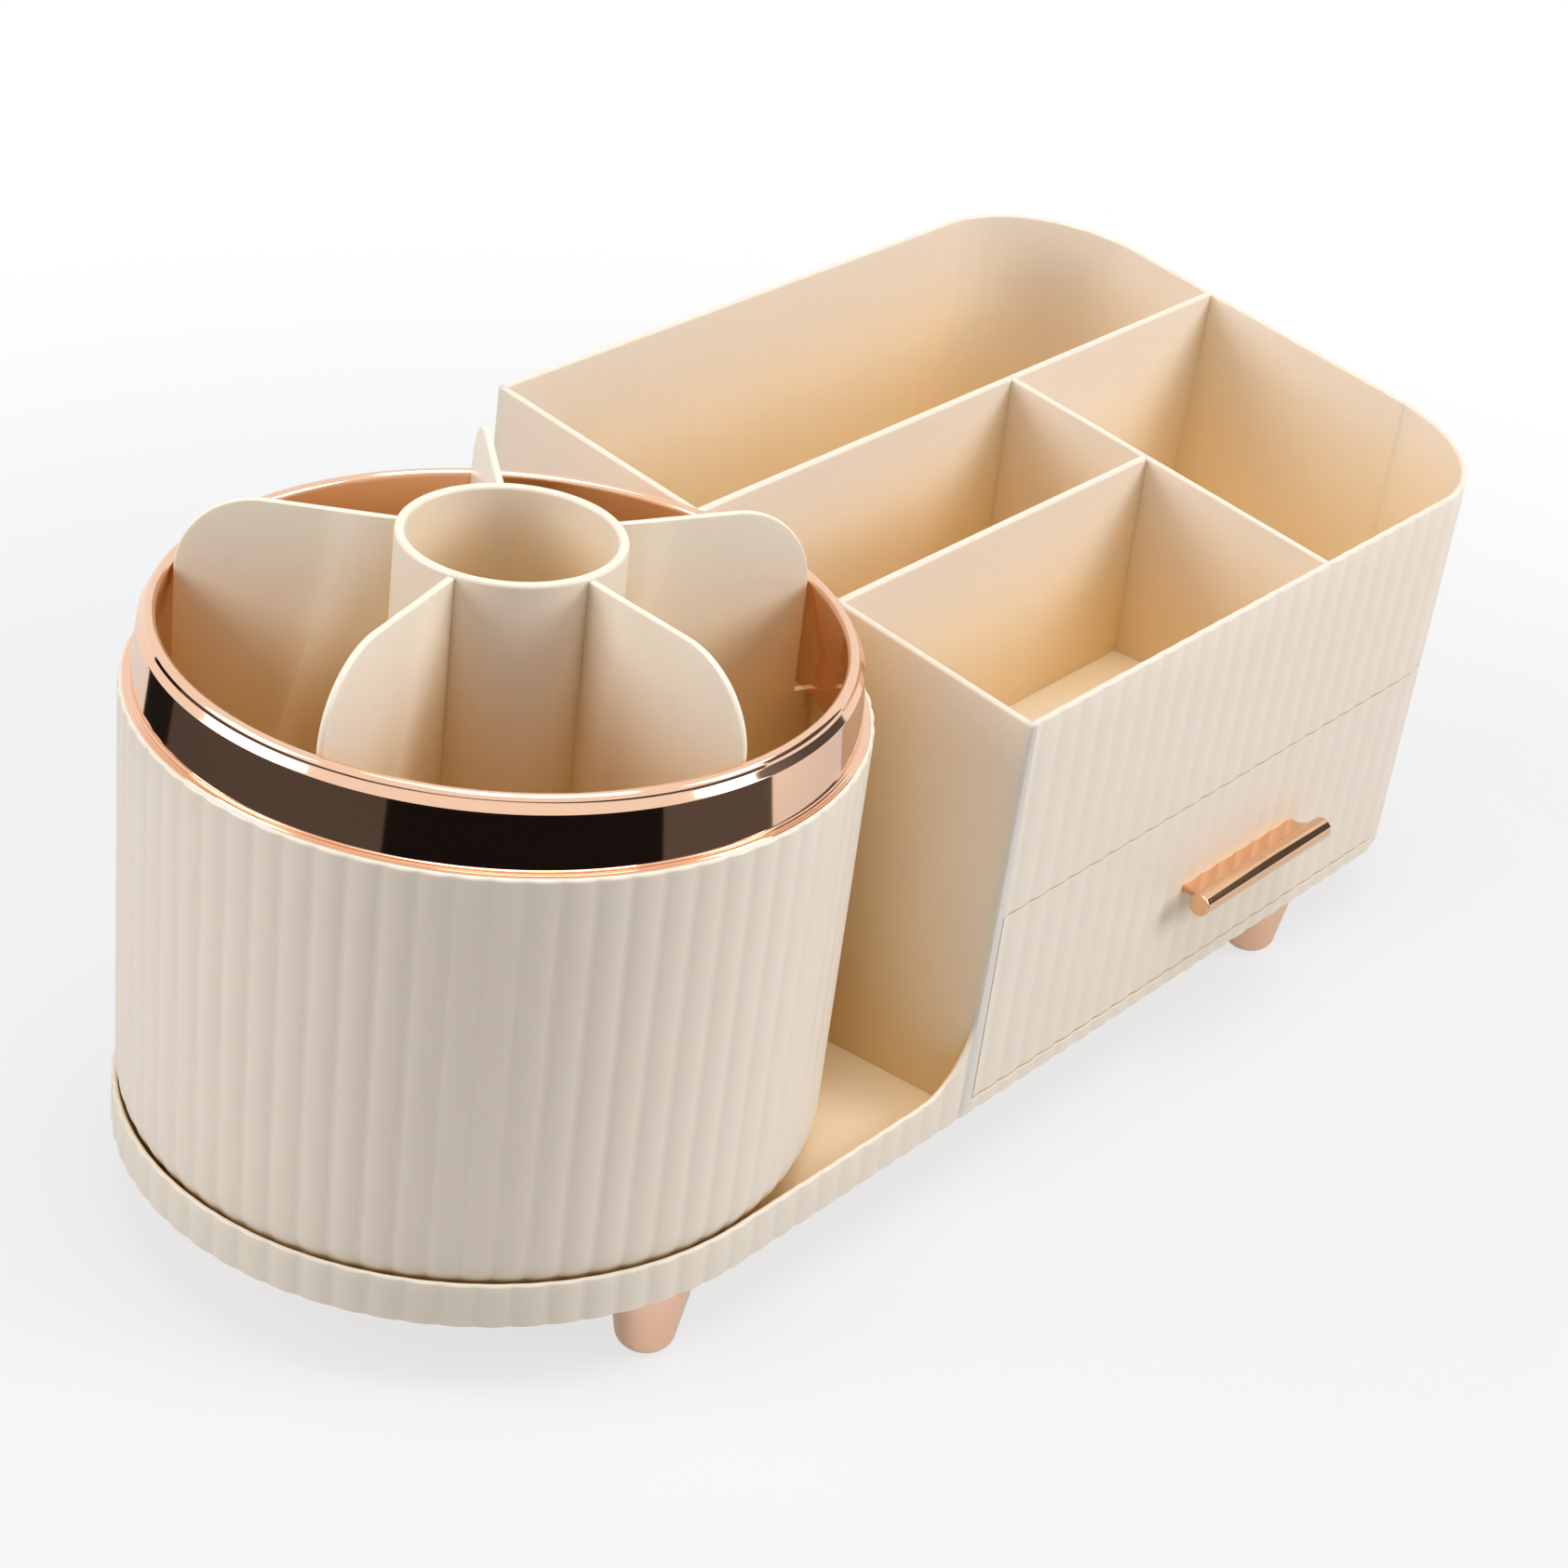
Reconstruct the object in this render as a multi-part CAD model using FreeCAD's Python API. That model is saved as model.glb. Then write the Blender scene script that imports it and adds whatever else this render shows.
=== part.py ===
import FreeCAD, Part
import math
import os

V = FreeCAD.Vector

# ---------------------------------------------------------------------------
# Driving dimensions, mm.  +X runs from the drum to the far end of the case,
# -Y is the side the drawer opens to, Z = 0 is the surface the feet stand on.
# ---------------------------------------------------------------------------

# Plan of the one-piece case: a round end for the drum and a blunt end for the box
CASE_HALF_WIDTH = 65.0       # half the width across the flute crests, at the box rim
CASE_DRAFT = 0.0119          # how much the long sides lean out, per mm of height
END_X = 155.0                # end face, at the box rim
END_LEAN = 0.062             # how much the end face leans out, per mm of height
FRONT_CORNER_R = 29.0
BACK_CORNER_R = 31.5

# Heights above the underside of the case
FOOT_HEIGHT = 15.0
FLOOR_THICKNESS = 2.0
TRAY_RIM_HEIGHT = 8.6        # low rim round the drum
LIP_HEIGHT = 2.8             # sill under the drawer
DRAWER_SEAM_HEIGHT = 42.9    # seam over the drawer
RIM_MID_HEIGHT = 92.8        # box rim at mid width
RIM_SLOPE = 0.15             # rise of the box rim towards the back

# Walls
TRAY_RIM_WALL = 1.2
WALL_LOW = 2.1               # box wall at the floor
WALL_RIM = 1.4               # box wall at the rim
SIDE_WALL_X = -25.0          # drum-side face of the side wall, at the floor
DRUM_SIDE_GAP = 1.25         # from there to the drum's widest part
SIDE_WALL_DRAFT = 0.031
SIDE_WALL_LOW = 3.2          # side wall thickness at the floor
SIDE_WALL_RIM = 1.5          # and at the rim
SWEEP_R = 14.0               # curve by which the tray rim rises into the side wall

# Flutes, shallow convex reeds that meet in sharp valleys
FLUTE_PITCH = 6.35           # round the box
TRAY_FLUTE_PITCH = 6.15      # round the drum's tray
FLUTE_DEPTH = 0.3
FLUTE_START_X = -19.1        # the valley that the flutes of the box are counted from
DRUM_FLUTES = 70

# Compartment insert
LEDGE_THICKNESS = 1.5
LEDGE_WIDTH = 2.0
DECK_THICKNESS = 1.8
DIVIDER_THICKNESS = 1.5
LONG_DIVIDER_Y = 14.75
FRONT_DIVIDER_Y = -19.55
CROSS_DIVIDER_X = 79.2
INSERT_GAP = 0.15

# Drawer
DRAWER_GAP = 0.35            # all round the drawer front
DRAWER_WRAP = 27.8           # how far the front wraps back along the end wall
FRONT_THICKNESS = 2.6
TRAY_WALL = 1.8
TRAY_SIDE_GAP = 0.8
DRAWER_BACK_INSET = 6.5      # from the crests of the back wall
DRAWER_WALL_HEIGHT = 36.4
STOP_X = (10.0, 110.0)       # the two stop arms under the deck
STOP_ARM_WIDTH = 2.0
STOP_TOOTH_WIDTH = 5.0
STOP_HEIGHT = 2.7
STOP_THICKNESS = 2.0
DRAWER_TRAVEL = 100.0        # from closed to the stops
RAIL_WIDTH = 3.0
RAIL_X = (0.0, 118.0)

# Drawer handle
HANDLE_X = 64.6
HANDLE_Z = 22.4              # above the underside of the case
HANDLE_LENGTH = 45.6
HANDLE_BAR_R = 2.15
HANDLE_REACH = 5.8           # from the crests of the front to the bar's axis
HANDLE_PLATE_WIDTH = 40.0
HANDLE_PLATE_THICKNESS = 1.6
HANDLE_NECK_R = 2.0
TAB_WIDTH = 8.0
TAB_SPACING = 22.0
TAB_GAP = 0.15
CLIP_THICKNESS = 0.8
CLIP_MARGIN = 2.6
TAB_END = 1.0                # tab left proud of its clip

# Feet
FOOT_TOP_R = 7.6
FOOT_BOTTOM_R = 5.5
FOOT_END_R = 3.4
FOOT_INSET = 10.0            # from the long sides
FOOT_DRUM_OFFSET = 12.35     # beyond the drum's axis
FOOT_END_INSET = 61.1        # from the end face
FOOT_SCREW_R = 1.45
FOOT_SCREW_HEAD_R = 2.9
FOOT_SCREW_LENGTH = 10.0
SCREW_GAP = 0.05
SCREW_SLOT = 0.8

# Turntable under the drum
BALL_R = 2.0
BALL_COUNT = 10
RACE_EDGE_GAP = 1.6          # to the wall round the recess
RACE_HALF_WIDTH = 7.0
RACE_THICKNESS = 2.3
RACE_SPACING = 2.4           # between the two races
CAGE_HALF_WIDTH = 3.6
CAGE_THICKNESS = 1.2
BALL_GAP = 0.1
LOCATING_RIB = 1.2
LOCATING_GAP = 0.2

# Pivot
HUB_R = 5.0
PIVOT_RUNNING_GAP = 0.06
BOSS_WALL = 4.0
BOSS_DROP = 3.5              # boss below the underside of the case
HUB_PROUD = 0.3
WASHER_R = 8.0
WASHER_THICKNESS = 0.8
PIVOT_SCREW_R = 1.8
PIVOT_HEAD_R = 3.6
PIVOT_HEAD_HEIGHT = 1.8
PIVOT_SCREW_LENGTH = 11.0

# Drum
DRUM_RIM_GAP = 0.42          # to the inside of the tray rim
DRUM_FLOOR_GAP = 0.6         # to the tray floor
DRUM_DRAFT = 0.0161
DRUM_HEIGHT = 88.1           # drum top above the underside of the case
DRUM_FOOT_R = 10.5           # round at the foot of the drum
DRUM_WALL = 2.6
DRUM_FLOOR = 2.0

# Divider insert of the drum
TUBE_R = 19.75
TUBE_WALL = 1.8
TUBE_HEIGHT = 117.3          # above the underside of the case
VANE_HEIGHT = 116.0
VANE_THICKNESS = 1.4
VANE_COUNT = 5
VANE_START_DEG = 48.0
VANE_CORNER_R = 16.0
VANE_RING_GAP = 0.4
INSERT_FLOOR = 1.8
VANE_WALL_GAP = 0.5

# Trim ring on the drum
RING_RISE = 12.9
RING_BAND = 2.3              # width of the rounded top
RING_TOP_R = 60.7
RING_LEDGE = 1.9             # drum top left bare outside the ring
RING_SHOULDER = 1.0          # width of the slope under the rounded top
RING_SHOULDER_DROP = 0.8
RING_BEAD = 0.6
RING_SKIRT = 9.2             # depth that reaches down inside the drum
RING_SKIRT_WALL = 2.0
RING_FIT = 0.2
RING_NOTCH_WIDTH = 3.0
RING_NOTCH_HEIGHT = 4.0

# ---------------------------------------------------------------------------
# Levels that follow from the dimensions above
# ---------------------------------------------------------------------------
BASE_Z = FOOT_HEIGHT
FLOOR_Z = BASE_Z + FLOOR_THICKNESS
TRAY_RIM_Z = BASE_Z + TRAY_RIM_HEIGHT
SILL_Z = BASE_Z + LIP_HEIGHT
SEAM_Z = BASE_Z + DRAWER_SEAM_HEIGHT
RIM_MID_Z = BASE_Z + RIM_MID_HEIGHT
DECK_Z = SEAM_Z + LEDGE_THICKNESS
TOP_Z = RIM_MID_Z + RIM_SLOPE * CASE_HALF_WIDTH + 4.0
SIDE_Y = CASE_HALF_WIDTH + 20.0
FAR_X = END_X + 60.0

STACK = 2.0 * RACE_THICKNESS + RACE_SPACING
BALL_Z = FLOOR_Z + STACK / 2.0
DRUM_BOTTOM_Z = FLOOR_Z + DRUM_FLOOR_GAP
DRUM_FLOOR_Z = FLOOR_Z + STACK
DRUM_INSIDE_Z = DRUM_FLOOR_Z + DRUM_FLOOR
DRUM_TOP_Z = BASE_Z + DRUM_HEIGHT
RING_TOP_Z = DRUM_TOP_Z + RING_RISE
RING_FOOT_Z = DRUM_TOP_Z - RING_SKIRT
DRAWER_END_Y = DRAWER_WRAP - CASE_HALF_WIDTH
DRAWER_BACK_Y = CASE_HALF_WIDTH - DRAWER_BACK_INSET
FOOT_Y = CASE_HALF_WIDTH - FOOT_INSET


def half_width(z):
    """Half width of the case over the crests at height z."""
    return CASE_HALF_WIDTH + CASE_DRAFT * (z - RIM_MID_Z)


def end_face_x(z):
    """Crest line of the end wall at height z."""
    return END_X + END_LEAN * (z - RIM_MID_Z)


def wall_at(z):
    """Thickness of the box wall at height z, measured from the crests."""
    return WALL_LOW + (WALL_RIM - WALL_LOW) * (z - FLOOR_Z) / (RIM_MID_Z - FLOOR_Z)


def side_wall_outer_x(z):
    """Drum-side face of the side wall."""
    return SIDE_WALL_X + SIDE_WALL_DRAFT * (z - FLOOR_Z)


def side_wall_inner_x(z):
    """Box-side face of the side wall."""
    rise = (z - FLOOR_Z) / (RIM_MID_Z - FLOOR_Z)
    return side_wall_outer_x(z) + SIDE_WALL_LOW + (SIDE_WALL_RIM - SIDE_WALL_LOW) * rise


def foot_round_setback():
    """How far the drum's rounded foot has drawn in at the height of the tray rim."""
    below = DRUM_BOTTOM_Z + DRUM_FOOT_R - TRAY_RIM_Z
    return DRUM_FOOT_R - math.sqrt(DRUM_FOOT_R ** 2 - below ** 2)


# The drum runs inside the tray rim, so its size comes from the rim and a running gap
DRUM_ROUND_Z = DRUM_BOTTOM_Z + DRUM_FOOT_R
DRUM_LOW_R = half_width(TRAY_RIM_Z) - TRAY_RIM_WALL - DRUM_RIM_GAP + foot_round_setback()
DRUM_TOP_R = DRUM_LOW_R + DRUM_DRAFT * (DRUM_TOP_Z - DRUM_ROUND_Z)
DRUM_MOUTH_R = DRUM_TOP_R - DRUM_WALL
DRUM_X = SIDE_WALL_X - DRUM_SIDE_GAP - DRUM_TOP_R
DRUM_CENTRE = V(DRUM_X, 0, 0)
RECESS_R = DRUM_LOW_R - DRUM_FOOT_R - DRUM_WALL / 2.0
RACE_R = RECESS_R - RACE_EDGE_GAP - RACE_HALF_WIDTH


class Track:
    """A smooth closed outline at one height, run counter-clockwise."""

    def __init__(self, z):
        self.z = z
        self.pieces = []
        self.length = 0.0

    def straight(self, start, end):
        """Add a straight from start to end, both (x, y)."""
        size = math.hypot(end[0] - start[0], end[1] - start[1])
        self.pieces.append(("straight", start, end, self.length, size))
        self.length += size

    def arc(self, centre, radius, start_deg, sweep_deg):
        """Add an arc that bulges outwards."""
        size = radius * math.radians(sweep_deg)
        self.pieces.append(("arc", centre, (radius, start_deg, sweep_deg), self.length, size))
        self.length += size

    def at(self, distance, inset=0.0):
        """Point at a distance along the outline, moved inwards by inset."""
        distance = distance % self.length
        for kind, a, b, start, size in self.pieces:
            if distance <= start + size + 1e-9:
                share = (distance - start) / size
                break
        if kind == "arc":
            radius, start_deg, sweep_deg = b
            angle = math.radians(start_deg + share * sweep_deg)
            reach = radius - inset
            return V(a[0] + reach * math.cos(angle), a[1] + reach * math.sin(angle), self.z)
        along = ((b[0] - a[0]) / size, (b[1] - a[1]) / size)
        x = a[0] + along[0] * share * size - along[1] * inset
        y = a[1] + along[1] * share * size + along[0] * inset
        return V(x, y, self.z)

    def plain_wire(self):
        """The outline itself as a wire."""
        edges = []
        for kind, a, b, start, size in self.pieces:
            p, m, q = (self.at(start + size * k / 2.0) for k in (0, 1, 2))
            if kind == "arc":
                edges.append(Part.Arc(p, m, q).toShape())
            else:
                edges.append(Part.LineSegment(p, q).toShape())
        return Part.Wire(edges)

    def fluted_wire(self, valleys, depth):
        """Wire of convex reeds: crests on the outline, valleys inside it by depth."""
        edges = []
        ends = valleys[1:] + [valleys[0] + self.length]
        for start, end in zip(valleys, ends):
            p = self.at(start, depth)
            m = self.at((start + end) / 2.0)
            q = self.at(end, depth)
            edges.append(Part.Arc(p, m, q).toShape())
        return Part.Wire(edges)


def case_track(z, inset=0.0):
    """Plan of the case at height z, inset from the crests; starts at the first box valley."""
    half = half_width(z) - inset
    end = end_face_x(z) - inset
    front_r = FRONT_CORNER_R - inset
    back_r = BACK_CORNER_R - inset
    track = Track(z)
    track.straight((FLUTE_START_X, -half), (end - front_r, -half))
    track.arc((end - front_r, -half + front_r), front_r, -90, 90)
    track.straight((end, -half + front_r), (end, half - back_r))
    track.arc((end - back_r, half - back_r), back_r, 0, 90)
    track.straight((end - back_r, half), (FLUTE_START_X, half))
    track.straight((FLUTE_START_X, half), (DRUM_X, half))
    track.arc((DRUM_X, 0), half, 90, 180)
    track.straight((DRUM_X, -half), (FLUTE_START_X, -half))
    return track


def case_stretches(track):
    """Ends of the three runs of flutes: box front, round the box end, round the drum end."""
    front = track.pieces[0][4]
    around = sum(piece[4] for piece in track.pieces[1:5])
    return front, front + around, track.length


def case_valleys(z, counts):
    """Distances of the valleys at height z, evenly spaced within each run."""
    start = 0.0
    valleys = []
    for end, count in zip(case_stretches(case_track(z)), counts):
        valleys += [start + (end - start) * k / count for k in range(count)]
        start = end
    return valleys


def flute_counts():
    """Flutes in each run, counted at the underside; they fan out above it."""
    counts = []
    start = 0.0
    pitches = (FLUTE_PITCH, FLUTE_PITCH, TRAY_FLUTE_PITCH)
    for end, pitch in zip(case_stretches(case_track(BASE_Z)), pitches):
        counts.append(max(1, int(round((end - start) / pitch))))
        start = end
    return counts


def fluted_block(low_z, high_z):
    """Solid of the case's fluted outline between two heights."""
    counts = flute_counts()
    wires = []
    for z in (low_z, high_z):
        wires.append(case_track(z).fluted_wire(case_valleys(z, counts), FLUTE_DEPTH))
    return Part.makeLoft(wires, True, True)


def plain_block(low_z, high_z, low_inset, high_inset):
    """Solid inside the case's outline with plain faces, inset from the crests."""
    wires = [case_track(low_z, low_inset).plain_wire(), case_track(high_z, high_inset).plain_wire()]
    return Part.makeLoft(wires, True, True)


def box(x0, x1, y0, y1, z0, z1):
    """Rectangular block between two corners."""
    return Part.makeBox(x1 - x0, y1 - y0, z1 - z0, V(x0, y0, z0))


def disc(x, y, z0, z1, radius):
    """Upright cylinder."""
    return Part.makeCylinder(radius, z1 - z0, V(x, y, z0))


def ring(x, y, z0, z1, inner_r, outer_r):
    """Upright ring of rectangular section."""
    return disc(x, y, z0, z1, outer_r).cut(disc(x, y, z0 - 1, z1 + 1, inner_r))


def prism_xz(points, y0, y1):
    """Solid between two Y planes with a closed outline of (x, z) points."""
    corners = [V(x, y0, z) for x, z in points]
    return Part.Face(Part.makePolygon(corners + corners[:1])).extrude(V(0, y1 - y0, 0))


def revolve(edges, x, y):
    """Full turn of a closed (x, z) outline about the upright axis through x, y."""
    face = Part.Face(Part.Wire(edges))
    solid = face.revolve(V(0, 0, 0), V(0, 0, 1), 360)
    solid.translate(V(x, y, 0))
    return solid


def polyline(points):
    """Straight edges through (r, z) points in the X-Z plane."""
    corners = [V(r, 0, z) for r, z in points]
    pairs = [(a, b) for a, b in zip(corners, corners[1:]) if a.distanceToPoint(b) > 1e-6]
    return [Part.LineSegment(a, b).toShape() for a, b in pairs]


def arc_rz(a, m, b):
    """Arc through three (r, z) points in the X-Z plane."""
    return Part.Arc(V(a[0], 0, a[1]), V(m[0], 0, m[1]), V(b[0], 0, b[1])).toShape()


def above_rim():
    """Everything over the sloping rim of the box."""
    half = SIDE_Y
    low = RIM_MID_Z - RIM_SLOPE * half
    high = RIM_MID_Z + RIM_SLOPE * half
    corners = [V(-FAR_X, -half, low), V(-FAR_X, half, high)]
    corners += [V(-FAR_X, half, TOP_Z + 40), V(-FAR_X, -half, TOP_Z + 40)]
    return Part.Face(Part.makePolygon(corners + corners[:1])).extrude(V(2 * FAR_X, 0, 0))


def above_tray_rim():
    """Everything over the tray rim and beside the side wall, with the swept corner."""
    lean = math.atan(SIDE_WALL_DRAFT)
    centre_z = TRAY_RIM_Z + SWEEP_R
    centre_x = side_wall_outer_x(centre_z) - SWEEP_R / math.cos(lean)
    mid = -math.pi / 4.0 - lean / 2.0
    start = (centre_x, TRAY_RIM_Z)
    middle = (centre_x + SWEEP_R * math.cos(mid), centre_z + SWEEP_R * math.sin(mid))
    end = (centre_x + SWEEP_R * math.cos(lean), centre_z - SWEEP_R * math.sin(lean))
    top = TOP_Z + SWEEP_R
    edges = [arc_rz(start, middle, end)]
    edges += polyline([end, (side_wall_outer_x(top), top), (-FAR_X, top), (-FAR_X, TRAY_RIM_Z), start])
    face = Part.Face(Part.Wire(edges))
    face.translate(V(0, -SIDE_Y, 0))
    return face.extrude(V(0, 2 * SIDE_Y, 0))


def beside_drum(gap=0.0):
    """Space on the drum's side of the side wall."""
    low = FLOOR_Z - 5
    high = TOP_Z + 10
    points = [(side_wall_outer_x(low) - gap, low), (side_wall_outer_x(high) - gap, high)]
    return prism_xz(points + [(-FAR_X, high), (-FAR_X, low)], -SIDE_Y, SIDE_Y)


def inside_box(gap=0.0):
    """Space on the box's side of the side wall, held off it by gap."""
    low = BASE_Z - 5
    high = TOP_Z + 10
    points = [(side_wall_inner_x(low) + gap, low), (FAR_X, low)]
    points += [(FAR_X, high), (side_wall_inner_x(high) + gap, high)]
    return prism_xz(points, -SIDE_Y, SIDE_Y)


def box_cavity(low_z, high_z, gap=0.0):
    """Inside of the box between two heights, held off its walls by gap."""
    space = plain_block(low_z, high_z, wall_at(low_z) + gap, wall_at(high_z) + gap)
    return space.common(inside_box(gap))


def drawer_window(gap):
    """Opening that the wrapped drawer front fills, shrunk by gap all round."""
    window = box(-FAR_X, FAR_X, -SIDE_Y, DRAWER_END_Y - gap, SILL_Z + gap, SEAM_Z - gap)
    return window.common(inside_box(gap))


def foot_positions():
    """Centres of the four feet, by name."""
    places = {}
    for side, y in (("front", -FOOT_Y), ("back", FOOT_Y)):
        places["foot_%s_drum" % side] = (DRUM_X - FOOT_DRUM_OFFSET, y)
        places["foot_%s_box" % side] = (END_X - FOOT_END_INSET, y)
    return places


def stop_tooth(x, y, low_z, high_z):
    """Small tooth that stops the drawer; y is its front face."""
    half = STOP_TOOTH_WIDTH / 2.0
    return box(x - half, x + half, y, y + STOP_THICKNESS, low_z, high_z)


def make_case():
    """One moulding: tray with its fluted rim, box walls, side wall and drawer opening."""
    case = fluted_block(BASE_Z, TOP_Z)
    case = case.cut(above_tray_rim()).cut(above_rim())
    tray = plain_block(FLOOR_Z, TOP_Z, TRAY_RIM_WALL, TRAY_RIM_WALL)
    case = case.cut(tray.common(beside_drum()))
    case = case.cut(box_cavity(FLOOR_Z, SEAM_Z))
    case = case.cut(box_cavity(SEAM_Z, DECK_Z, LEDGE_WIDTH))
    case = case.cut(box_cavity(DECK_Z, TOP_Z))
    case = case.cut(drawer_window(0.0))

    # Rails that the drawer runs on, and two arms with teeth that stop it
    rail_end = DRAWER_BACK_Y
    extras = []
    for x in RAIL_X:
        extras.append(box(x, x + RAIL_WIDTH, DRAWER_END_Y - 20, rail_end, FLOOR_Z - 0.5, SILL_Z))
    stop_y = DRAWER_BACK_Y - STOP_THICKNESS - DRAWER_TRAVEL - STOP_THICKNESS
    arm_y = -half_width(SEAM_Z) + wall_at(SEAM_Z) - 0.5
    for x in STOP_X:
        half = STOP_ARM_WIDTH / 2.0
        extras.append(box(x - half, x + half, arm_y, stop_y + STOP_THICKNESS, SEAM_Z, DECK_Z))
        extras.append(stop_tooth(x, stop_y, SEAM_Z - STOP_HEIGHT, DECK_Z))

    # Boss for the pivot and rib that centres the lower race
    boss_r = HUB_R + BOSS_WALL
    extras.append(disc(DRUM_X, 0, BASE_Z - BOSS_DROP, DRUM_FLOOR_Z - 2 * DRUM_FLOOR_GAP, boss_r))
    rib_r = RACE_R - RACE_HALF_WIDTH - LOCATING_GAP
    extras.append(ring(DRUM_X, 0, FLOOR_Z - 0.5, FLOOR_Z + LOCATING_RIB, rib_r - LOCATING_RIB, rib_r))
    case = case.fuse(extras)
    case = case.cut(disc(DRUM_X, 0, 0, DRUM_FLOOR_Z, HUB_R + PIVOT_RUNNING_GAP))

    # Countersunk screw holes over the feet
    for x, y in foot_positions().values():
        case = case.cut(foot_screw_shape(x, y, SCREW_GAP))
    return case


def foot_screw_shape(x, y, gap):
    """Countersunk screw down into a foot, grown by gap for its hole."""
    head = FOOT_SCREW_HEAD_R - FOOT_SCREW_R
    r = FOOT_SCREW_R + gap
    points = [(0, FLOOR_Z + gap), (FOOT_SCREW_HEAD_R + gap, FLOOR_Z + gap)]
    points += [(FOOT_SCREW_HEAD_R + gap, FLOOR_Z), (r, FLOOR_Z - head)]
    points += [(r, FLOOR_Z - FOOT_SCREW_LENGTH - gap), (0, FLOOR_Z - FOOT_SCREW_LENGTH - gap)]
    return revolve(polyline(points + points[:1]), x, y)


def make_foot(x, y):
    """Tapered foot with a rounded end and a pilot hole."""
    r, e, h = FOOT_BOTTOM_R, FOOT_END_R, FOOT_HEIGHT
    turn = e * (1 - math.sqrt(0.5))
    edges = [arc_rz((r - e, 0), (r - turn, turn), (r, e))]
    edges += polyline([(r, e), (FOOT_TOP_R, h), (0, h), (0, 0), (r - e, 0)])
    foot = revolve(edges, x, y)
    return foot.cut(foot_screw_shape(x, y, SCREW_GAP))


def make_foot_screws():
    """Four identical screws, one over each foot."""
    screws = []
    for x, y in foot_positions().values():
        screw = foot_screw_shape(x, y, 0.0)
        for a, b in ((FOOT_SCREW_HEAD_R * 0.6, SCREW_SLOT / 2), (SCREW_SLOT / 2, FOOT_SCREW_HEAD_R * 0.6)):
            screw = screw.cut(box(x - a, x + a, y - b, y + b, FLOOR_Z - SCREW_SLOT, FLOOR_Z + 1))
        screws.append(screw)
    return Part.makeCompound(screws)


def make_insert():
    """Deck with three dividers, dropped into the box from above."""
    half = DIVIDER_THICKNESS / 2.0
    y_far = SIDE_Y
    low = DECK_Z
    long_divider = box(-FAR_X, FAR_X, LONG_DIVIDER_Y - half, LONG_DIVIDER_Y + half, low, TOP_Z)
    cross_divider = box(CROSS_DIVIDER_X - half, CROSS_DIVIDER_X + half, -y_far, LONG_DIVIDER_Y, low, TOP_Z)
    front_divider = box(-FAR_X, CROSS_DIVIDER_X, FRONT_DIVIDER_Y - half, FRONT_DIVIDER_Y + half, low, TOP_Z)
    deck = box(-FAR_X, FAR_X, -y_far, y_far, DECK_Z, DECK_Z + DECK_THICKNESS)
    grid = deck.fuse([long_divider, cross_divider, front_divider])
    return grid.common(box_cavity(DECK_Z, TOP_Z, INSERT_GAP)).cut(above_rim())


def make_drawer_front():
    """Fluted front that wraps round the corner of the case."""
    low = SILL_Z + DRAWER_GAP
    high = SEAM_Z - DRAWER_GAP
    front = fluted_block(low, high).common(drawer_window(DRAWER_GAP))
    front = front.cut(plain_block(low - 1, high + 1, FRONT_THICKNESS, FRONT_THICKNESS))
    return front.cut(handle_tabs(TAB_GAP))


def make_drawer_tray():
    """Open tray behind the front; its lugs meet the stops of the case."""
    low = SILL_Z + DRAWER_GAP
    high = low + DRAWER_WALL_HEIGHT
    tray = plain_block(low, high, FRONT_THICKNESS, FRONT_THICKNESS)
    tray = tray.common(inside_box(TRAY_SIDE_GAP))
    tray = tray.common(box(-FAR_X, FAR_X, -SIDE_Y, DRAWER_BACK_Y, low, high))
    inset = FRONT_THICKNESS + TRAY_WALL
    inside = plain_block(low + TRAY_WALL, high + 1, inset, inset)
    inside = inside.common(inside_box(TRAY_SIDE_GAP + TRAY_WALL))
    back = DRAWER_BACK_Y - TRAY_WALL
    tray = tray.cut(inside.common(box(-FAR_X, FAR_X, -SIDE_Y, back, low, high + 1)))
    lug_z = SEAM_Z - DRAWER_GAP - 0.3
    lug_y = DRAWER_BACK_Y - STOP_THICKNESS
    tray = tray.fuse([stop_tooth(x, lug_y, high - 6, lug_z) for x in STOP_X])
    return tray.cut(handle_tabs(TAB_GAP))


def handle_levels():
    """Bar axis (y, z) and the two faces of the handle's plate."""
    z = BASE_Z + HANDLE_Z
    y = -half_width(z) - HANDLE_REACH
    return y, z, z - HANDLE_PLATE_THICKNESS / 2.0, z + HANDLE_PLATE_THICKNESS / 2.0


def handle_tabs(gap):
    """Two flat tabs that pass through the front and the tray wall, grown by gap."""
    y, z, plate_low, plate_high = handle_levels()
    inner = -half_width(z) + FRONT_THICKNESS + TRAY_WALL + CLIP_THICKNESS + TAB_END
    tabs = []
    for side in (-0.5, 0.5):
        x = HANDLE_X + side * TAB_SPACING
        half = TAB_WIDTH / 2.0 + gap
        tabs.append(box(x - half, x + half, y, inner + gap, plate_low - gap, plate_high + gap))
    return tabs[0].fuse(tabs[1])


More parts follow.
